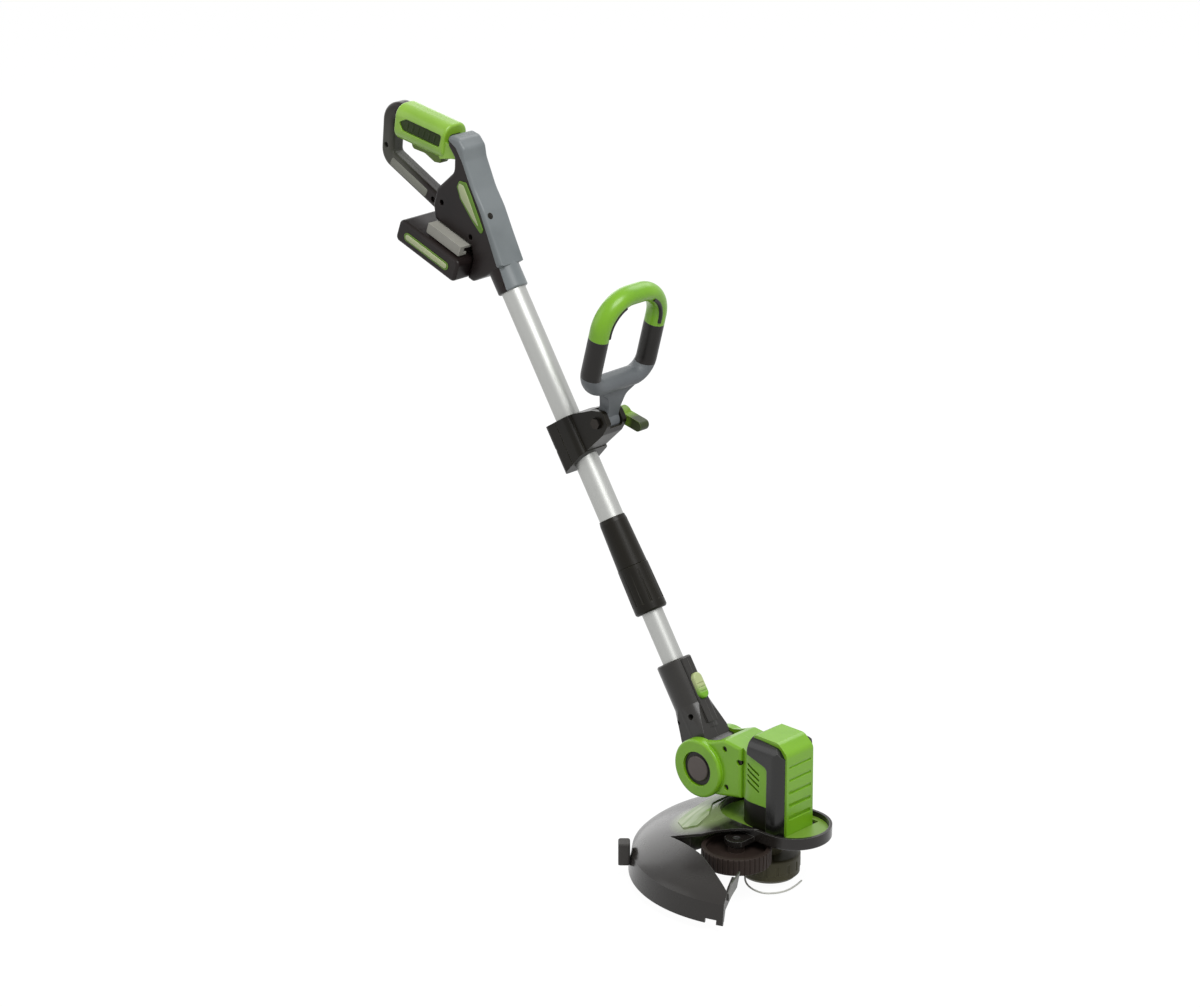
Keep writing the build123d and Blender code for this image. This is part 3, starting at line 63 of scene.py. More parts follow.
# Camera at the photograph's angle, set out from the picture's own 1200 x 1007 frame
cameraSettings = {
    "azimuth": 43.0,
    "elevation": 20.0,
    "distance": 4.2,
    "pixelsPerMetre": 920.0,
    "pictureWide": 1200.0,
    "pictureHigh": 1007.0,
    "originAt": (769.0, 872.0),  # where the frame's origin, on the spool's axis, lies in the picture
    "sensor": 36.0,
    "clipEnd": 50,
}


def addCamera(s):
    turn = radians(s["azimuth"])
    rise = radians(s["elevation"])
    back = Vector((sin(turn) * cos(rise), -cos(turn) * cos(rise), sin(rise)))
    right = Vector((cos(turn), sin(turn), 0))
    up = back.cross(right)
    originRight = (s["originAt"][0] - s["pictureWide"] / 2) / s["pixelsPerMetre"]
    originUp = (s["pictureHigh"] / 2 - s["originAt"][1]) / s["pixelsPerMetre"]
    data = bpy.data.cameras.new("photoCamera")
    data.sensor_fit = "HORIZONTAL"
    data.sensor_width = s["sensor"]
    data.lens = s["pixelsPerMetre"] * s["distance"] / s["pictureWide"] * s["sensor"]
    data.clip_end = s["clipEnd"]
    camera = bpy.data.objects.new("photoCamera", data)
    scene.collection.objects.link(camera)
    place = back * s["distance"] - right * originRight - up * originUp
    axes = Matrix((right, up, back)).transposed().to_4x4()
    camera.matrix_world = Matrix.Translation(place) @ axes
    scene.camera = camera


addCamera(cameraSettings)
print("camera set")


# Materials
def linear(hexColour):
    values = []
    for i in (1, 3, 5):
        v = int(hexColour[i:i + 2], 16) / 255
        values.append(v / 12.92 if v <= 0.04045 else ((v + 0.055) / 1.055) ** 2.4)
    return (*values, 1.0)


# Settings and links go to a socket by its name or number; other settings are the node's own
def addNode(tree, kind, settings=None, links=None):
    node = tree.nodes.new(kind)
    for key, value in (settings or {}).items():
        if isinstance(key, int) or key in node.inputs:
            node.inputs[key].default_value = value
        else:
            setattr(node, key, value)
    for key, source in (links or {}).items():
        tree.links.new(source, node.inputs[key])
    return node


def newMaterial(name):
    material = bpy.data.materials.new(name)
    material.use_nodes = True
    tree = material.node_tree
    tree.nodes.clear()
    shader = addNode(tree, "ShaderNodeBsdfPrincipled")
    addNode(tree, "ShaderNodeOutputMaterial", links={"Surface": shader.outputs["BSDF"]})
    coords = addNode(tree, "ShaderNodeTexCoord")
    return material, tree, shader, coords.outputs["Object"]


# Plastic and rubber moulded in a spark-eroded tool: a satin surface with a fine grain, slow shifts of tone
# and gloss, and edges painted a little paler, partly as rubbing wear and partly as a painted edge highlight;
# other colours can take over with distance from a place.
# The real grain is about 0.1 mm and too fine to show, so grainMm draws it about ten times as coarse
mouldSettings = {
    "toneMm": 55.6,  # width of the shifts of tone
    "toneStops": (0.3, 0.55),
    "glossMm": 22.2,  # width of the patches of gloss
    "glossLess": 0.06,
    "glossMore": 0.08,
    "grainStrength": 0.35,
    "edgeRadius": 0.0008,
    "edgeSamples": 6,
    "wearAndHighlightFrom": 0.97,  # cosine of an edge's turn where the pale edge (wear and painted highlight) starts, and where it is at its most
    "wearAndHighlightTo": 0.8,
    "wearAndHighlightMost": 0.6,
    "ior": 1.5,
    "coatRough": 0.2,
}


def mouldedPlastic(
    name, colour, darker, rough, wearAndHighlight=None, shine=0.5, grainMm=0.9, grainDeep=0.00006, coat=0.0, others=()
):
    s = mouldSettings
    material, tree, shader, place = newMaterial(name)
    tone = addNode(
        tree, "ShaderNodeTexNoise", {"Scale": 1000.0 / s["toneMm"], "Detail": 3.0}, {"Vector": place}
    )
    colours = addNode(tree, "ShaderNodeValToRGB", links={"Fac": tone.outputs["Fac"]})
    for stop, position, shade in zip(colours.color_ramp.elements, s["toneStops"], (darker, colour)):
        stop.position = position
        stop.color = linear(shade)
    shown = colours.outputs["Color"]
    for other in others:
        away = [-spot * axis for spot, axis in zip(other["centre"], other["axes"])]
        near = addNode(
            tree, "ShaderNodeMapping", {"Scale": other["axes"], "Location": away}, {"Vector": place}
        )
        reach = addNode(
            tree, "ShaderNodeVectorMath", {"operation": "LENGTH"}, {"Vector": near.outputs["Vector"]}
        )
        share = addNode(
            tree,
            "ShaderNodeMapRange",
            {"From Min": other["from"], "From Max": other["to"]},
            {"Value": reach.outputs["Value"]},
        )
        mixed = addNode(
            tree,
            "ShaderNodeMixRGB",
            {"Color2": linear(other["colour"])},
            {"Fac": share.outputs["Result"], "Color1": shown},
        )
        shown = mixed.outputs["Color"]
    softEdge = addNode(tree, "ShaderNodeBevel", {"Radius": s["edgeRadius"], "samples": s["edgeSamples"]})
    # edges painted paler: partly rubbing wear, partly a painted edge highlight
    if wearAndHighlight:
        flat = addNode(tree, "ShaderNodeNewGeometry")
        meet = addNode(
            tree,
            "ShaderNodeVectorMath",
            {"operation": "DOT_PRODUCT"},
            {0: softEdge.outputs["Normal"], 1: flat.outputs["Normal"]},
        )
        wearAndHighlightShare = addNode(
            tree,
            "ShaderNodeMapRange",
            {"From Min": s["wearAndHighlightFrom"], "From Max": s["wearAndHighlightTo"], "To Max": s["wearAndHighlightMost"]},
            {"Value": meet.outputs["Value"]},
        )
        edged = addNode(
            tree,
            "ShaderNodeMixRGB",
            {"Color2": linear(wearAndHighlight)},
            {"Fac": wearAndHighlightShare.outputs["Result"], "Color1": shown},
        )
        shown = edged.outputs["Color"]
    tree.links.new(shown, shader.inputs["Base Color"])
    gloss = addNode(
        tree, "ShaderNodeTexNoise", {"Scale": 1000.0 / s["glossMm"], "Detail": 4.0}, {"Vector": place}
    )
    spread = addNode(
        tree,
        "ShaderNodeMapRange",
        {"To Min": rough - s["glossLess"], "To Max": rough + s["glossMore"]},
        {"Value": gloss.outputs["Fac"]},
    )
    tree.links.new(spread.outputs["Result"], shader.inputs["Roughness"])
    grain = addNode(
        tree, "ShaderNodeTexNoise", {"Scale": 1000.0 / grainMm, "Detail": 2.0}, {"Vector": place}
    )
    bump = addNode(
        tree,
        "ShaderNodeBump",
        {"Strength": s["grainStrength"], "Distance": grainDeep},
        {"Height": grain.outputs["Fac"], "Normal": softEdge.outputs["Normal"]},
    )
    tree.links.new(bump.outputs["Normal"], shader.inputs["Normal"])
    shader.inputs["IOR"].default_value = s["ior"]
    shader.inputs["Specular IOR Level"].default_value = shine
    shader.inputs["Coat Weight"].default_value = coat
    shader.inputs["Coat Roughness"].default_value = s["coatRough"]
    return material


# Two-tone moulded ABS panel: the deck inlay stays plain green, and the dome's panel has pale streaks along
# its length, partly flow lines and partly a painted sheen, whose gloss also varies so that they catch the
# light
streakSettings = {
    "apartMm": 7.7,
    "turn": radians(20),
    "stretch": (1, 0.12, 0.6),
    "stops": (0.38, 0.62),
    "domeBehind": -0.0587,  # the dome's panel lies further back than this, or further to the right
    "domeBeside": -0.0387,
    "smooth": 0.28,
    "rough": 0.5,
    "bumpStrength": 0.3,
    "bumpDeep": 0.0001,
    "ior": 1.5,
}


def streakedPanel(name, plain, pale, streak):
    s = streakSettings
    material, tree, shader, place = newMaterial(name)
    along = addNode(
        tree,
        "ShaderNodeMapping",
        {"Rotation": (0, 0, s["turn"]), "Scale": s["stretch"]},
        {"Vector": place},
    )
    streakNoise = addNode(
        tree,
        "ShaderNodeTexNoise",
        {"Scale": 1000.0 / s["apartMm"], "Detail": 1.5},
        {"Vector": along.outputs["Vector"]},
    )
    streaks = addNode(tree, "ShaderNodeValToRGB", links={"Fac": streakNoise.outputs["Fac"]})
    for stop, position, shade in zip(streaks.color_ramp.elements, s["stops"], (streak, pale)):
        stop.position = position
        stop.color = linear(shade)
    axes = addNode(tree, "ShaderNodeSeparateXYZ", links={"Vector": place})
    behind = addNode(
        tree, "ShaderNodeMath", {"operation": "LESS_THAN", 1: s["domeBehind"]}, {0: axes.outputs["X"]}
    )
    beside = addNode(
        tree, "ShaderNodeMath", {"operation": "LESS_THAN", 1: s["domeBeside"]}, {0: axes.outputs["Y"]}
    )
    onDome = addNode(
        tree,
        "ShaderNodeMath",
        {"operation": "MAXIMUM"},
        {0: behind.outputs["Value"], 1: beside.outputs["Value"]},
    )
    mixed = addNode(
        tree,
        "ShaderNodeMixRGB",
        {"Color1": linear(plain)},
        {"Fac": onDome.outputs["Value"], "Color2": streaks.outputs["Color"]},
    )
    tree.links.new(mixed.outputs["Color"], shader.inputs["Base Color"])
    spread = addNode(
        tree,
        "ShaderNodeMapRange",
        {"To Min": s["smooth"], "To Max": s["rough"]},
        {"Value": streakNoise.outputs["Fac"]},
    )
    tree.links.new(spread.outputs["Result"], shader.inputs["Roughness"])
    bump = addNode(
        tree,
        "ShaderNodeBump",
        {"Strength": s["bumpStrength"], "Distance": s["bumpDeep"]},
        {"Height": streakNoise.outputs["Fac"]},
    )
    tree.links.new(bump.outputs["Normal"], shader.inputs["Normal"])
    shader.inputs["IOR"].default_value = s["ior"]
    return material


# Drawn aluminium tube, clear anodised: lengthwise draw lines that stretch the highlight.
# Real ones are finer than 0.1 mm; these are drawn wide enough to grain the shine
drawnSettings = {
    "lineMm": 0.455,
    "stretch": (1, 1, 0.01),
    "smoother": 0.05,
    "rougher": 0.07,
    "bumpStrength": 0.2,
    "bumpDeep": 0.00002,
    "metallic": 0.8,
}


def anodisedTube(name, colour, rough):
    s = drawnSettings
    material, tree, shader, place = newMaterial(name)
    along = addNode(
        tree,
        "ShaderNodeMapping",
        {"Rotation": (0, shaftTilt - radians(90), 0), "Scale": s["stretch"]},
        {"Vector": place},
    )
    lines = addNode(
        tree,
        "ShaderNodeTexNoise",
        {"Scale": 1000.0 / s["lineMm"], "Detail": 2.0},
        {"Vector": along.outputs["Vector"]},
    )
    spread = addNode(
        tree,
        "ShaderNodeMapRange",
        {"To Min": rough - s["smoother"], "To Max": rough + s["rougher"]},
        {"Value": lines.outputs["Fac"]},
    )
    tree.links.new(spread.outputs["Result"], shader.inputs["Roughness"])
    bump = addNode(
        tree,
        "ShaderNodeBump",
        {"Strength": s["bumpStrength"], "Distance": s["bumpDeep"]},
        {"Height": lines.outputs["Fac"]},
    )
    tree.links.new(bump.outputs["Normal"], shader.inputs["Normal"])
    shader.inputs["Base Color"].default_value = linear(colour)
    shader.inputs["Metallic"].default_value = s["metallic"]
    return material


# Plated or blackened metal, with faint tumbling marks in its gloss
platedSettings = {"marksMm": 1.43, "smoother": 0.08, "rougher": 0.1}


def platedMetal(name, colour, rough):
    s = platedSettings
    material, tree, shader, place = newMaterial(name)
    marks = addNode(
        tree, "ShaderNodeTexNoise", {"Scale": 1000.0 / s["marksMm"], "Detail": 4.0}, {"Vector": place}
    )
    spread = addNode(
        tree,
        "ShaderNodeMapRange",
        {"To Min": rough - s["smoother"], "To Max": rough + s["rougher"]},
        {"Value": marks.outputs["Fac"]},
    )
    tree.links.new(spread.outputs["Result"], shader.inputs["Roughness"])
    shader.inputs["Base Color"].default_value = linear(colour)
    shader.inputs["Metallic"].default_value = 1.0
    return material


# Housings and battery: near-black satin, edges a shade lighter, greyer round the hand loop
blackAbs = mouldedPlastic(
    "blackMouldedAbs", "#1d1615", "#151010", rough=0.36, wearAndHighlight="#4a4442", shine=0.22,
    others=[
        {"colour": "#494942", "centre": (-0.569, 0, 0.702), "axes": (1, 0, 1), "from": 0.068, "to": 0.022},
    ],
)
# Clamp, collar and motor base: the blackest mouldings, with a warm cast
deepBlackAbs = mouldedPlastic(
    "deepBlackMouldedAbs", "#131008", "#0d0b06", rough=0.36, wearAndHighlight="#4c4936", shine=0.2
)
# Neck: charcoal with a soft gloss that draws a bright line down its front
neckAbs = mouldedPlastic(
    "charcoalMouldedAbs", "#262421", "#1e1c1a", rough=0.3, wearAndHighlight="#63615d", shine=0.35, coat=0.15
)
# Motor frame: the glossiest black, with a bright line along its rounded rim, partly its gloss and partly a
# painted highlight in its pale edge colour
frameAbs = mouldedPlastic(
    "glossBlackMouldedAbs", "#161614", "#10100f", rough=0.24, wearAndHighlight="#8c8c88", shine=0.4, coat=0.2
)
# Loop posts and inner trims: dark satin
trimAbs = mouldedPlastic(
    "dimGreyMouldedAbs", "#211f1d", "#191716", rough=0.36, wearAndHighlight="#565552", shine=0.28
)
# Handle cover: slate grey satin with paler edges
coverAbs = mouldedPlastic(
    "slateGreyMouldedAbs", "#757b7d", "#6a7072", rough=0.36, wearAndHighlight="#9a9f9f", shine=0.4
)
# Battery foot: light warm grey, matt
footAbs = mouldedPlastic(
    "lightGreyMouldedAbs", "#9c9b93", "#8f8e86", rough=0.5, wearAndHighlight="#bab9b0", shine=0.35
)
# Loop base: mid grey satin
loopGreyAbs = mouldedPlastic(
    "midGreyMouldedAbs", "#676b6e", "#5d6164", rough=0.45, wearAndHighlight="#868a8c", shine=0.3
)
# Panels on the lower bar: warm grey satin
panelAbs = mouldedPlastic(
    "warmGreyMouldedAbs", "#818278", "#73736a", rough=0.45, wearAndHighlight="#a2a39b", shine=0.35
)
# Motor housing, hood and loop grip: bright leaf green with a thin gloss
greenAbs = mouldedPlastic(
    "greenMouldedAbs", "#79b01c", "#6da414", rough=0.32, wearAndHighlight="#a2c85c", shine=0.4, coat=0.15
)
# Rear grip: the same green in a softer, pebbled overmould
softGreen = mouldedPlastic(
    "greenSoftOvermould", "#89b830", "#7dac26", rough=0.4, wearAndHighlight="#abc973", shine=0.5, grainMm=1.2, coat=0.3
)
# Pads let into the rear grip: soft and too matt to shine; their dark green is partly their own colour and
# partly painted shade in the grip's recess
padRubberAndShade = mouldedPlastic(
    "darkGreenSoftGripAndShade", "#2a3a10", "#212e0c", rough=0.6, wearAndHighlight="#4a5a2a", shine=0.25
)
# Edging button: pale at its upper end, leaf green below
buttonAbs = mouldedPlastic(
    "paleGreenButtonAbs", "#b4c088", "#a7b47a", rough=0.42, wearAndHighlight="#c8d0a4", shine=0.35,
    others=[
        {"colour": "#74ad2c", "centre": onShaft(0.089, 0.022), "axes": (1, 1, 1), "from": 0.008, "to": 0.017},
    ],
)
# Edges of the battery's stripes and the side inlays: darker leaf green round a pale face
edgeGreenAbs = mouldedPlastic(
    "leafGreenMouldedAbs", "#5f8426", "#54771f", rough=0.42, wearAndHighlight="#86a654", shine=0.35
)
# Their faces: pale grey-green satin
palePlate = mouldedPlastic(
    "paleGreenMouldedAbs", "#b7c096", "#a6b184", rough=0.4, wearAndHighlight="#ccd2b4", shine=0.35
)
# Trigger: olive nylon, polished by the finger
oliveNylon = mouldedPlastic(
    "oliveMouldedNylon", "#5c7424", "#50661e", rough=0.45, wearAndHighlight="#7d9346", shine=0.35
)
# Spool: dark olive nylon, matt, the edges of its ribs paler, partly dust and partly a painted highlight
spoolNylon = mouldedPlastic(
    "darkOliveMouldedNylon", "#45422c", "#393624", rough=0.5, wearAndHighlight="#7c7a5c", shine=0.3
)
# Knob: leaf green at the hub, running to dark green along the lever
knobNylon = mouldedPlastic(
    "greenKnobNylon", "#7ca431", "#6f9629", rough=0.45, wearAndHighlight="#9cbd5e", shine=0.35,
    others=[{"colour": "#2b3611", "centre": loopPin, "axes": (1, 0, 1), "from": 0.008, "to": 0.020}],
)
# Guard: dark polypropylene, glossy enough that the dome turns pale where it leans to the edge lamp; a pale
# green round the dome's panel is partly the panel's own tint and partly a painted sheen; the boss under the
# wheel is darker
guardPp = mouldedPlastic(
    "greyGuardPolypropylene", "#24211e", "#1d1a18", rough=0.25, wearAndHighlight="#7d7e7b", shine=0.3,
    grainMm=1.4, grainDeep=0.00002, coat=0.2,
    others=[
        # pale green round the dome's panel: partly the panel's tint, partly a painted sheen
        {
            "colour": "#7c8a62",
            "centre": (-0.058, -0.042, 0.066),
            "axes": (1, 1, 1),
            "from": 0.042,
            "to": 0.026,
        },
        {"colour": "#1d1a18", "centre": (0.002, -0.057, 0), "axes": (1, 1, 0), "from": 0.019, "to": 0.016},
    ],
)
# Pivot caps: brown-grey face inside a near-black flange
capAbs = mouldedPlastic(
    "brownGreyMouldedAbs", "#5b5350", "#504946", rough=0.46, wearAndHighlight="#7a7370", shine=0.3,
    others=[{"colour": "#231f1d", "centre": pivot, "axes": (1, 0, 1), "from": 0.0140, "to": 0.0146}],
)
# Wheel: dull black rubber, paler on the edges of its ribs, partly scuffing and partly a painted highlight
wheelRubber = mouldedPlastic(
    "blackMouldedRubber", "#271d18", "#1e1612", rough=0.62, wearAndHighlight="#5d514a", shine=0.25,
    grainMm=1.6, grainDeep=0.00015,
)
# Bumper: the same rubber, greyed by dust
bumperRubber = mouldedPlastic(
    "greyMouldedRubber", "#444240", "#3a3836", rough=0.6, wearAndHighlight="#6b6967", shine=0.25,
    grainMm=1.6, grainDeep=0.00015,
)
# Behind the vents: black, dull plates of painted shade that make the slots look deep
ventShadowPaint = mouldedPlastic(
    "blackVentShadowPaint", "#14130f", "#0e0d0a", rough=0.8, shine=0.1, grainMm=0.7, grainDeep=0.0002
)
# Cutting line: pale drawn nylon with a wet-looking gloss
nylonLine = mouldedPlastic("drawnNylonLine", "#d0d1c8", "#c2c3ba", rough=0.3, coat=0.2)
# Guard's deck inlay and dome panel: leaf green, the dome's panel under grey-green streaks that are partly a
# painted sheen
panelGreen = streakedPanel("streakedGreenPanelAbs", plain="#6f9330", pale="#a3ae8c", streak="#688341")
# Both tubes: silver grey with one long soft highlight
tubeAluminium = anodisedTube("clearAnodisedAluminium", "#b0b1ae", rough=0.4)
# Pins, springs, eyelets and motor: bright zinc with a soft shine
zincSteel = platedMetal("zincPlatedSteel", "#c9cac8", rough=0.3)
# Line cutter: hardened strip, darker and duller than the zinc
springSteel = platedMetal("hardenedSpringSteel", "#6c6c69", rough=0.36)
# Screws: near-black with only a dull glint, partly blackened steel and partly painted shade of the holes they
# sit in
blackSteelAndHoleShade = platedMetal("blackOxideSteelAndHoleShade", "#35322f", rough=0.42)
# Battery contacts: warm yellow under a thin coat of tin
brassBlades = platedMetal("tinnedBrass", "#c8a860", rough=0.3)

finishes = {
    blackAbs: "housing_right housing_left switch_body power_lead battery_case lock_button",
    deepBlackAbs: "clamp_body clamp_cap collar_nut collar_sleeve motor_base battery_latch",
    neckAbs: "neck_right neck_left",
    coverAbs: "top_cover",
    footAbs: "battery_foot",
    loopGreyAbs: "loop_base",
    frameAbs: "hood_frame",
    trimAbs: "loop_posts index_ring collet tube_bush cooling_fan",
    greenAbs: "loop_grip motor_housing_right motor_housing_left motor_hood",
    softGreen: "rear_grip",
    buttonAbs: "edging_button",
    edgeGreenAbs: "side_accents battery_stripes",
    panelGreen: "guard_panel",
    oliveNylon: "trigger",
    spoolNylon: "spool_housing spool_cap line_drum",
    knobNylon: "loop_knob",
    guardPp: "guard_shield",
    capAbs: "pivot_caps",
    wheelRubber: "edging_wheel",
    bumperRubber: "guard_bumper",
    tubeAluminium: "upper_tube lower_tube",
    springSteel: "line_cutter",
    zincSteel: "wheel_axle rotor_shaft motor_can line_eyelets trigger_spring button_spring spool_spring",
    blackSteelAndHoleShade: "neck_screws head_screws housing_screws clamp_screws loop_bolt",
    brassBlades: "contact_blades",
    nylonLine: "line_winding trimmer_line battery_cells",
}
for material, names in finishes.items():
    for name in names.split():
        mesh = nodes[name].data
        mesh.materials.clear()
        mesh.materials.append(material)
print("materials set")


# Ways of making pieces: run a round bar along a route, pick edges by their place, set axes on a spot,
# draw an oblong, raise a rounded plate from an outline, and hand a piece over to its body
def barAlong(name, kind, route, radius, roundness):
    curve = bpy.data.curves.new(name, "CURVE")
    curve.dimensions = "3D"
    spline = curve.splines.new(kind)
    spline.points.add(len(route) - 1)
    for point, spot in zip(spline.points, route):
        point.co = (*spot, 1)
    curve.bevel_depth = radius
    curve.bevel_resolution = roundness
    curve.use_fill_caps = True
    bar = bpy.data.objects.new(name, curve)
    scene.collection.objects.link(bar)
    return bar


def pickEdges(piece, test):
    mesh = bmesh.from_edit_mesh(piece.data)
    for part in (*mesh.faces, *mesh.edges, *mesh.verts):
        part.select = False
    for edge in mesh.edges:
        edge.select_set(test(edge.verts[0].co, edge.verts[1].co))
    bmesh.update_edit_mesh(piece.data)


def placeOn(origin, xWay, yWay):
    zWay = xWay.cross(yWay)
    axes = Matrix((xWay, yWay, zWay)).transposed().to_4x4()
    return Matrix.Translation(origin) @ axes


def onSide(spot, along, way, out):
    return placeOn(spot + sideways * way * out, along, sideways.cross(along) * way)


def oblong(long, high):
    return [(x * long / 2, y * high / 2) for x, y in ((-1, -1), (1, -1), (1, 1), (-1, 1))]


plateSettings = {"startRadius": 0.01, "cornerSteps": 4, "edgeSteps": 2, "smoothUnder": radians(35)}


def raisePlate(name, outline, thick, corner, edge, place):
    s = plateSettings
    bpy.ops.object.select_all(action="DESELECT")
    bpy.ops.mesh.primitive_circle_add(vertices=len(outline), radius=s["startRadius"], fill_type="NGON")
    piece = bpy.context.active_object
    piece.name = name
    for vertex, spot in zip(piece.data.vertices, outline):
        vertex.co = (spot[0], spot[1], 0)
    bpy.ops.object.mode_set(mode="EDIT")
    bpy.ops.mesh.select_mode(type="FACE")
    bpy.ops.mesh.select_all(action="SELECT")
    bpy.ops.mesh.extrude_region_move(TRANSFORM_OT_translate={"value": (0, 0, thick)})
    bpy.ops.mesh.select_all(action="SELECT")
    bpy.ops.mesh.normals_make_consistent(inside=False)
    bpy.ops.mesh.select_mode(type="EDGE")
    pickEdges(piece, lambda a, b: abs(a.z - b.z) > thick / 2)  # upright edges
    bpy.ops.mesh.bevel(offset=corner, segments=s["cornerSteps"], affect="EDGES")
    pickEdges(piece, lambda a, b: min(a.z, b.z) > thick * 0.9)  # edges round the outer face
    bpy.ops.mesh.bevel(offset=edge, segments=s["edgeSteps"], affect="EDGES")
    bpy.ops.object.mode_set(mode="OBJECT")
    piece.matrix_world = place
    bpy.ops.object.transform_apply(location=True, rotation=True, scale=True)
    return piece


def handOver(piece, body, material):
    bpy.ops.object.select_all(action="DESELECT")
    piece.select_set(True)
    bpy.context.view_layer.objects.active = piece
    bpy.ops.object.shade_smooth_by_angle(angle=plateSettings["smoothUnder"])
    piece.data.materials.clear()
    piece.data.materials.append(material)
    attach(piece, body)


# The cutting line: out of the spool's eyelet and trailing round it, as left after the last cut
lineSettings = {
    "route": (
        (0, -0.0255, 0.016),
        (0, -0.039, 0.016),
        (0.008, -0.050, 0.006),
        (0.026, -0.046, -0.001),
        (0.039, -0.029, -0.0025),
        (0.042, -0.008, -0.0025),
        (0.037, 0.011, -0.002),
    ),
    "diameter": 0.002,
    "length": 0.1088,
    "roundness": 3,
    "order": 3,
    "steps": 12,
}


def addLine(s):
    line = barAlong("cuttingLine", "NURBS", s["route"], s["diameter"] / 2, s["roundness"])
    spline = line.data.splines[0]
    spline.order_u = s["order"]
    spline.use_endpoint_u = True
    spline.resolution_u = s["steps"]
    line.data.materials.append(nylonLine)
    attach(line, "spool")
    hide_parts("trimmer_line")


addLine(lineSettings)
print("cutting line laid")


# Rear handle: soft ribbed pads in the grip's side recesses, dark partly by colour and partly as painted shade
gripPadSettings = {
    "at": (0.1772, 0.0033),
    "run": (0.668, -0.744),  # the grip's slope, by the shaft's two ways
    "outline": ((0.0007, 0.0103), (0.0557, 0.0103), (0.0658, 0.0039), (0.0595, -0.0033), (0.0026, -0.0033)),
    "floor": 0.0158,
    "thick": 0.0012,
    "corner": 0.0024,
    "edge": 0.0004,
    "ribs": 6,
    "ribStep": 0.0085,
    "rib": ((0.009, 0.0078), (0.0115, 0.0078), (0.0132, -0.0008), (0.0107, -0.0008)),
    "ribSunk": 0.0001,
    "ribThick": 0.0006,
    "ribCorner": 0.0006,
    "ribEdge": 0.0002,
}


def addGripPads(s):
    start = onHandle(*s["at"])
    along = (upShaft * s["run"][0] + offShaft * s["run"][1]).normalized()
    for way, label in bothSides:
        place = onSide(start, along, way, s["floor"])
        outline = [(x, y * way) for x, y in s["outline"]]
        pad = raisePlate("gripPad_" + label, outline, s["thick"], s["corner"], s["edge"], place)
        handOver(pad, "handle_unit", padRubberAndShade)
        place = onSide(start, along, way, s["floor"] + s["thick"] - s["ribSunk"])
        for step in range(s["ribs"]):
            outline = [(x + step * s["ribStep"], y * way) for x, y in s["rib"]]
            name = f"gripRib_{label}_{step}"
            rib = raisePlate(name, outline, s["ribThick"], s["ribCorner"], s["ribEdge"], place)
            handOver(rib, "handle_unit", padRubberAndShade)


addGripPads(gripPadSettings)

# Bare grey panels let into the lower bar
barPanelSettings = {
    "mid": (0.168, -0.0721),
    "turn": radians(-30.5),
    "long": 0.062,
    "high": 0.0098,
    "floor": 0.0097,
    "thick": 0.0008,
    "corner": 0.0024,
    "edge": 0.0003,
}


def addBarPanels(s):
    along = upShaft * cos(s["turn"]) + offShaft * sin(s["turn"])
    outline = oblong(s["long"], s["high"])
    for way, label in bothSides:
        place = onSide(onHandle(*s["mid"]), along, way, s["floor"])
        panel = raisePlate("barPanel_" + label, outline, s["thick"], s["corner"], s["edge"], place)
        handOver(panel, "handle_unit", panelAbs)


addBarPanels(barPanelSettings)

# Pale faces on the green side inlays and on the battery's stripes
packTilt = radians(20)
packWay = Vector((cos(packTilt), 0, -sin(packTilt)))
packUp = Vector((sin(packTilt), 0, cos(packTilt)))
inlaySettings = {
    "accent": (
        (0.1295, 0.0082),
        (0.1245, 0.0128),
        (0.112, 0.0122),
        (0.077, 0.0088),
        (0.086, 0.0056),
        (0.114, 0.0015),
        (0.1265, 0.0040),
    ),
    "accentFace": 0.01915,
    "accentCorner": 0.0016,
    "stripeMid": Vector((-0.47805, 0, 0.61497)) - packUp * 0.001,
    "stripeLong": 0.067,
    "stripeHigh": 0.0062,
    "stripeFace": 0.03855,
    "stripeCorner": 0.0029,
    "thick": 0.0005,
    "edge": 0.0002,
}


def addInlays(s):
    stripe = oblong(s["stripeLong"], s["stripeHigh"])
    for way, label in bothSides:
        place = onSide(handleAt, upShaft, way, s["accentFace"])
        outline = [(x, y * way) for x, y in s["accent"]]
        face = raisePlate("accentFace_" + label, outline, s["thick"], s["accentCorner"], s["edge"], place)
        handOver(face, "handle_unit", palePlate)
        place = onSide(s["stripeMid"], packWay, way, s["stripeFace"])
        face = raisePlate("stripeFace_" + label, stripe, s["thick"], s["stripeCorner"], s["edge"], place)
        handOver(face, "battery", palePlate)


addInlays(inlaySettings)
print("rear handle dressed")


# Cross-recess screw faces, one design for every screw seat on the right side, and the cover screw's plug;
# a seat is given by its spot in the side view and by how far out its floor lies
screwSettings = {
    "radius": 0.0027,
    "sides": 28,
    "thick": 0.0006,
    "edge": 0.0002,
    "slot": (0.0036, 0.0008),
    "plugAt": (0.0823, 0.0230, -0.0100),
    "plugLean": 0.12,
    "plugRadius": 0.0037,
    "plugSides": 24,
    "handle_unit": [
        (onHandle(along, off), out)
        for along, off, out in (
            (0.072, -0.011, 0.0132),
            (0.122, -0.031, 0.0132),
            (0.132, -0.0506, 0.0072),
            (0.213, -0.0855, 0.0072),
            (0.238, -0.050, 0.0099),
            (0.009, 0.0035, 0.0170),
        )
    ],
    "neck": [
        (onShaft(along, off), out)
        for along, off, out in (
            (0.104, -0.0156, 0.0082),
            (0.054, 0.010, 0.0142),
            (0.054, -0.012, 0.0142),
        )
    ],
    "head": [
        (Vector((x, 0, z)), 0.0242)
        for x, z in ((-0.043, 0.141), (-0.0225, 0.131), (-0.040, 0.097))
    ],
}


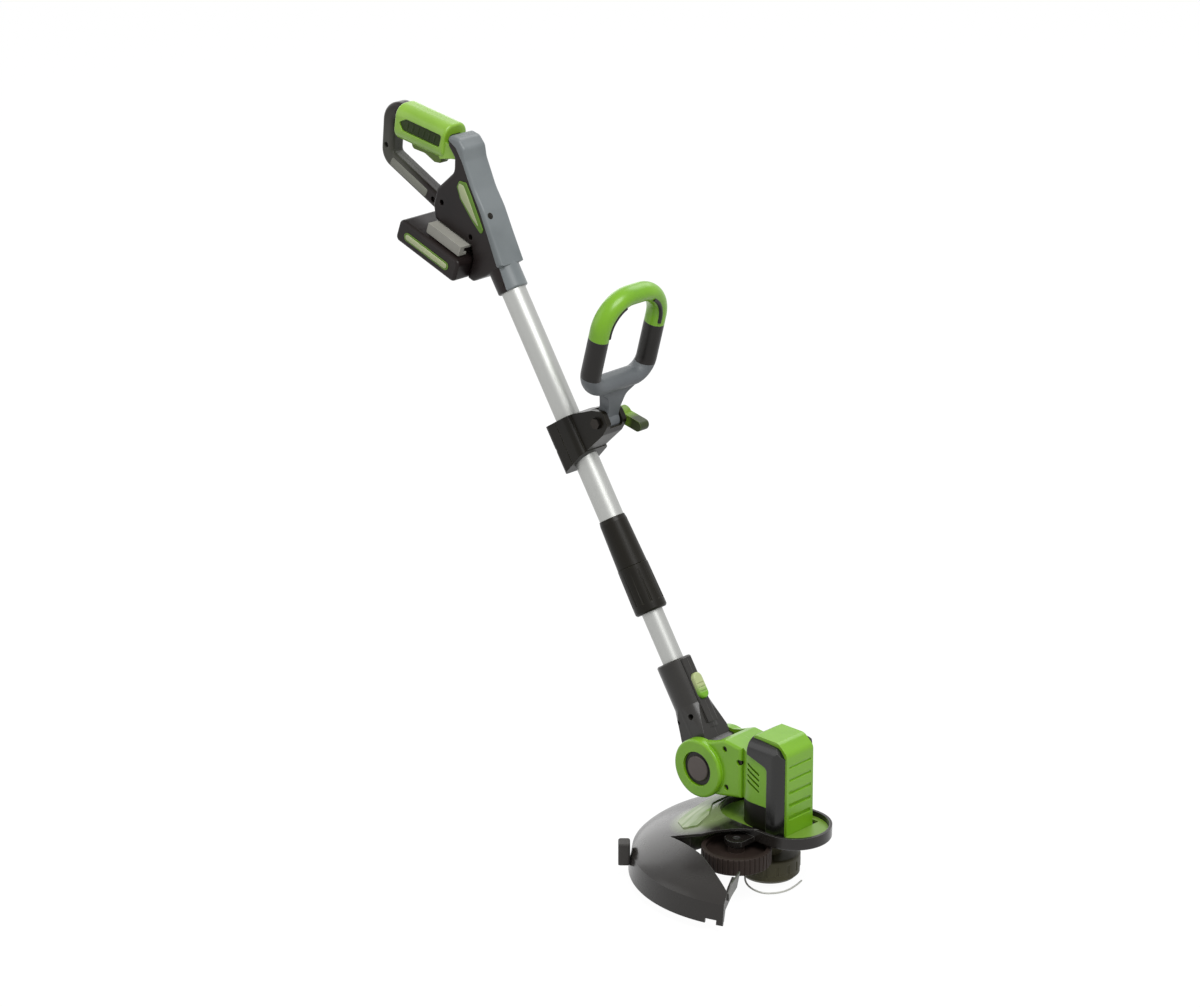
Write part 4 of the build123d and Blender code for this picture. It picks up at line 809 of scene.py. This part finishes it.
def screwFace(s):
    bpy.ops.object.select_all(action="DESELECT")
    bpy.ops.mesh.primitive_cylinder_add(vertices=s["sides"], radius=s["radius"], depth=s["thick"])
    face = bpy.context.active_object
    bpy.ops.object.mode_set(mode="EDIT")
    bpy.ops.mesh.select_mode(type="EDGE")
    pickEdges(face, lambda a, b: min(a.z, b.z) > 0)
    bpy.ops.mesh.bevel(offset=s["edge"], segments=2, affect="EDGES")
    bpy.ops.object.mode_set(mode="OBJECT")
    for turn in (0, 90):
        bpy.ops.mesh.primitive_cube_add(size=1, rotation=(0, 0, radians(turn)))
        slot = bpy.context.active_object
        slot.scale = (*s["slot"], s["thick"] * 3)
        cut = face.modifiers.new("cross", "BOOLEAN")
        cut.object = slot
        cut.operation = "DIFFERENCE"
        bpy.context.view_layer.objects.active = face
        bpy.ops.object.modifier_apply(modifier="cross")
        bpy.data.objects.remove(slot)
    return face


def addScrewFaces(s):
    pattern = screwFace(s)
    for body in ("handle_unit", "neck", "head"):
        for count, (spot, out) in enumerate(s[body]):
            piece = bpy.data.objects.new(f"screwFace_{body}_{count}", pattern.data.copy())
            scene.collection.objects.link(piece)
            piece.data.transform(placeOn(spot - sideways * out, Vector((1, 0, 0)), Vector((0, 0, 1))))
            handOver(piece, body, blackSteelAndHoleShade)
    bpy.data.objects.remove(pattern)
    along, off, across = s["plugAt"]
    leaned = (upShaft + offShaft * s["plugLean"]).normalized()
    place = placeOn(onHandle(along, off) + sideways * across, leaned, -sideways)
    turns = [radians(360 / s["plugSides"] * step) for step in range(s["plugSides"])]
    rim = [(s["plugRadius"] * cos(turn), s["plugRadius"] * sin(turn)) for turn in turns]
    plug = raisePlate("coverPlug", rim, s["thick"], s["edge"], s["edge"], place)
    handOver(plug, "handle_unit", deepBlackAbs)


addScrewFaces(screwSettings)
print("screw faces set")


# Motor housing: a black plate of painted shade behind each cooling slot
ventSettings = {
    "count": 4,
    "top": 0.131,
    "step": 0.0065,
    "turn": radians(27),
    "long": 0.0194,
    "high": 0.0021,
    "floor": 0.0255,
    "thick": 0.0005,
    "corner": 0.0009,
    "edge": 0.0001,
}


def addVentShadowPlates(s):
    along = Vector((cos(s["turn"]), 0, -sin(s["turn"])))
    outline = oblong(s["long"], s["high"])
    for way, label in bothSides:
        for step in range(s["count"]):
            place = onSide(Vector((0, 0, s["top"] - step * s["step"])), along, way, s["floor"])
            name = f"ventShadowPlate_{label}_{step}"
            shadowPlate = raisePlate(name, outline, s["thick"], s["corner"], s["edge"], place)
            handOver(shadowPlate, "head", ventShadowPaint)


addVentShadowPlates(ventSettings)
print("vents backed")


# Loop handle: dark soft strips let into the front of the green grip, one up each side and round its bend
loopSettings = {
    "lean": radians(75),
    "half": 0.044,
    "bottom": 0.1165,
    "top": 0.157,
    "bend": 0.036,
    "bendShare": 0.72,
    "bendSteps": 12,
    "inward": 0.0042,
    "forward": 0.0100,
    "radius": 0.0024,
    "roundness": 5,
}


def addLoopStrips(s):
    up = Vector((cos(s["lean"]), 0, sin(s["lean"])))
    front = sideways.cross(up)
    half = s["half"] - s["inward"]
    top = s["top"] - s["inward"]
    bend = s["bend"] - s["inward"]
    spots = [(half, s["bottom"])]
    for step in range(s["bendSteps"] + 1):
        turn = radians(90 * s["bendShare"]) * step / s["bendSteps"]
        spots.append((half - bend + bend * cos(turn), top - bend + bend * sin(turn)))
    for way, label in bothSides:
        route = [loopPin + up * high + sideways * wide * way + front * s["forward"] for wide, high in spots]
        strip = barAlong("loopStrip_" + label, "POLY", route, s["radius"], s["roundness"])
        bpy.ops.object.select_all(action="DESELECT")
        strip.select_set(True)
        bpy.context.view_layer.objects.active = strip
        bpy.ops.object.convert(target="MESH")
        handOver(bpy.context.active_object, "loop", trimAbs)


addLoopStrips(loopSettings)
print("loop dressed")


# Studio: white sweep, one large key lamp above the camera's right, a fill, a rim lamp and a low edge lamp
# behind on the left, which the guard's dome mirrors
studioSettings = {
    "floorAt": -0.006,
    "floorSize": 30.0,
    "white": (1, 1, 1, 1),
    "worldGrey": 0.36,
    "bounceGrey": (0.5, 0.5, 0.5, 1),
    "mattWhite": (0.9, 0.9, 0.9, 1),
    "floorGlow": 1.05,
    "glowShare": 0.92,
    "lamps": (  # name, place, size in metres and power in watts
        ("keyLamp", (1.6, -0.8, 3.2), 2.2, 88),
        ("fillLamp", (-2.2, -2.0, 1.6), 2.4, 12),
        ("rimLamp", (-0.6, 2.2, 2.6), 2.0, 24),
        ("edgeLamp", (-2.65, 1.15, 1.1), 2.4, 19),
    ),
    "aimAt": (-0.2, 0, 0.35),
}


# The camera and mirrored rays see one shader, and the light that falls on the object comes from another
def paleSweep(name, isWorld):
    holder = bpy.data.worlds.new(name) if isWorld else bpy.data.materials.new(name)
    holder.use_nodes = True
    tree = holder.node_tree
    tree.nodes.clear()
    rays = addNode(tree, "ShaderNodeLightPath")
    seen = addNode(
        tree,
        "ShaderNodeMath",
        {"operation": "MAXIMUM"},
        {0: rays.outputs["Is Camera Ray"], 1: rays.outputs["Is Glossy Ray"]},
    )
    allSeen = addNode(
        tree,
        "ShaderNodeMath",
        {"operation": "MAXIMUM"},
        {0: seen.outputs["Value"], 1: rays.outputs["Is Transmission Ray"]},
    )
    mix = addNode(tree, "ShaderNodeMixShader", links={"Fac": allSeen.outputs["Value"]})
    kind = "ShaderNodeOutputWorld" if isWorld else "ShaderNodeOutputMaterial"
    addNode(tree, kind, links={"Surface": mix.outputs["Shader"]})
    return holder, tree, mix


def addStudio(s):
    world, tree, mix = paleSweep("studioWorld", True)
    light = addNode(tree, "ShaderNodeBackground", {"Color": s["white"], "Strength": s["worldGrey"]})
    backdrop = addNode(tree, "ShaderNodeBackground", {"Color": s["white"], "Strength": 1.0})
    tree.links.new(light.outputs["Background"], mix.inputs[1])
    tree.links.new(backdrop.outputs["Background"], mix.inputs[2])
    scene.world = world
    bpy.ops.object.select_all(action="DESELECT")
    bpy.ops.mesh.primitive_plane_add(size=s["floorSize"], location=(0, 0, s["floorAt"]))
    floor = bpy.context.active_object
    floor.name = "studioFloor"
    sweep, tree, mix = paleSweep("paleFloor", False)
    bounce = addNode(tree, "ShaderNodeBsdfDiffuse", {"Color": s["bounceGrey"]})
    matt = addNode(tree, "ShaderNodeBsdfDiffuse", {"Color": s["mattWhite"]})
    glow = addNode(tree, "ShaderNodeEmission", {"Color": s["white"], "Strength": s["floorGlow"]})
    both = addNode(
        tree,
        "ShaderNodeMixShader",
        {"Fac": s["glowShare"]},
        {1: matt.outputs["BSDF"], 2: glow.outputs["Emission"]},
    )
    tree.links.new(bounce.outputs["BSDF"], mix.inputs[1])
    tree.links.new(both.outputs["Shader"], mix.inputs[2])
    floor.data.materials.append(sweep)
    aim = Vector(s["aimAt"])
    for name, spot, size, power in s["lamps"]:
        data = bpy.data.lights.new(name, "AREA")
        data.shape = "DISK"
        data.size = size
        data.energy = power
        lamp = bpy.data.objects.new(name, data)
        scene.collection.objects.link(lamp)
        lamp.location = spot
        lamp.rotation_euler = (aim - Vector(spot)).to_track_quat("-Z", "Y").to_euler()


addStudio(studioSettings)
scene.view_settings.view_transform = "Standard"
print("studio lit")
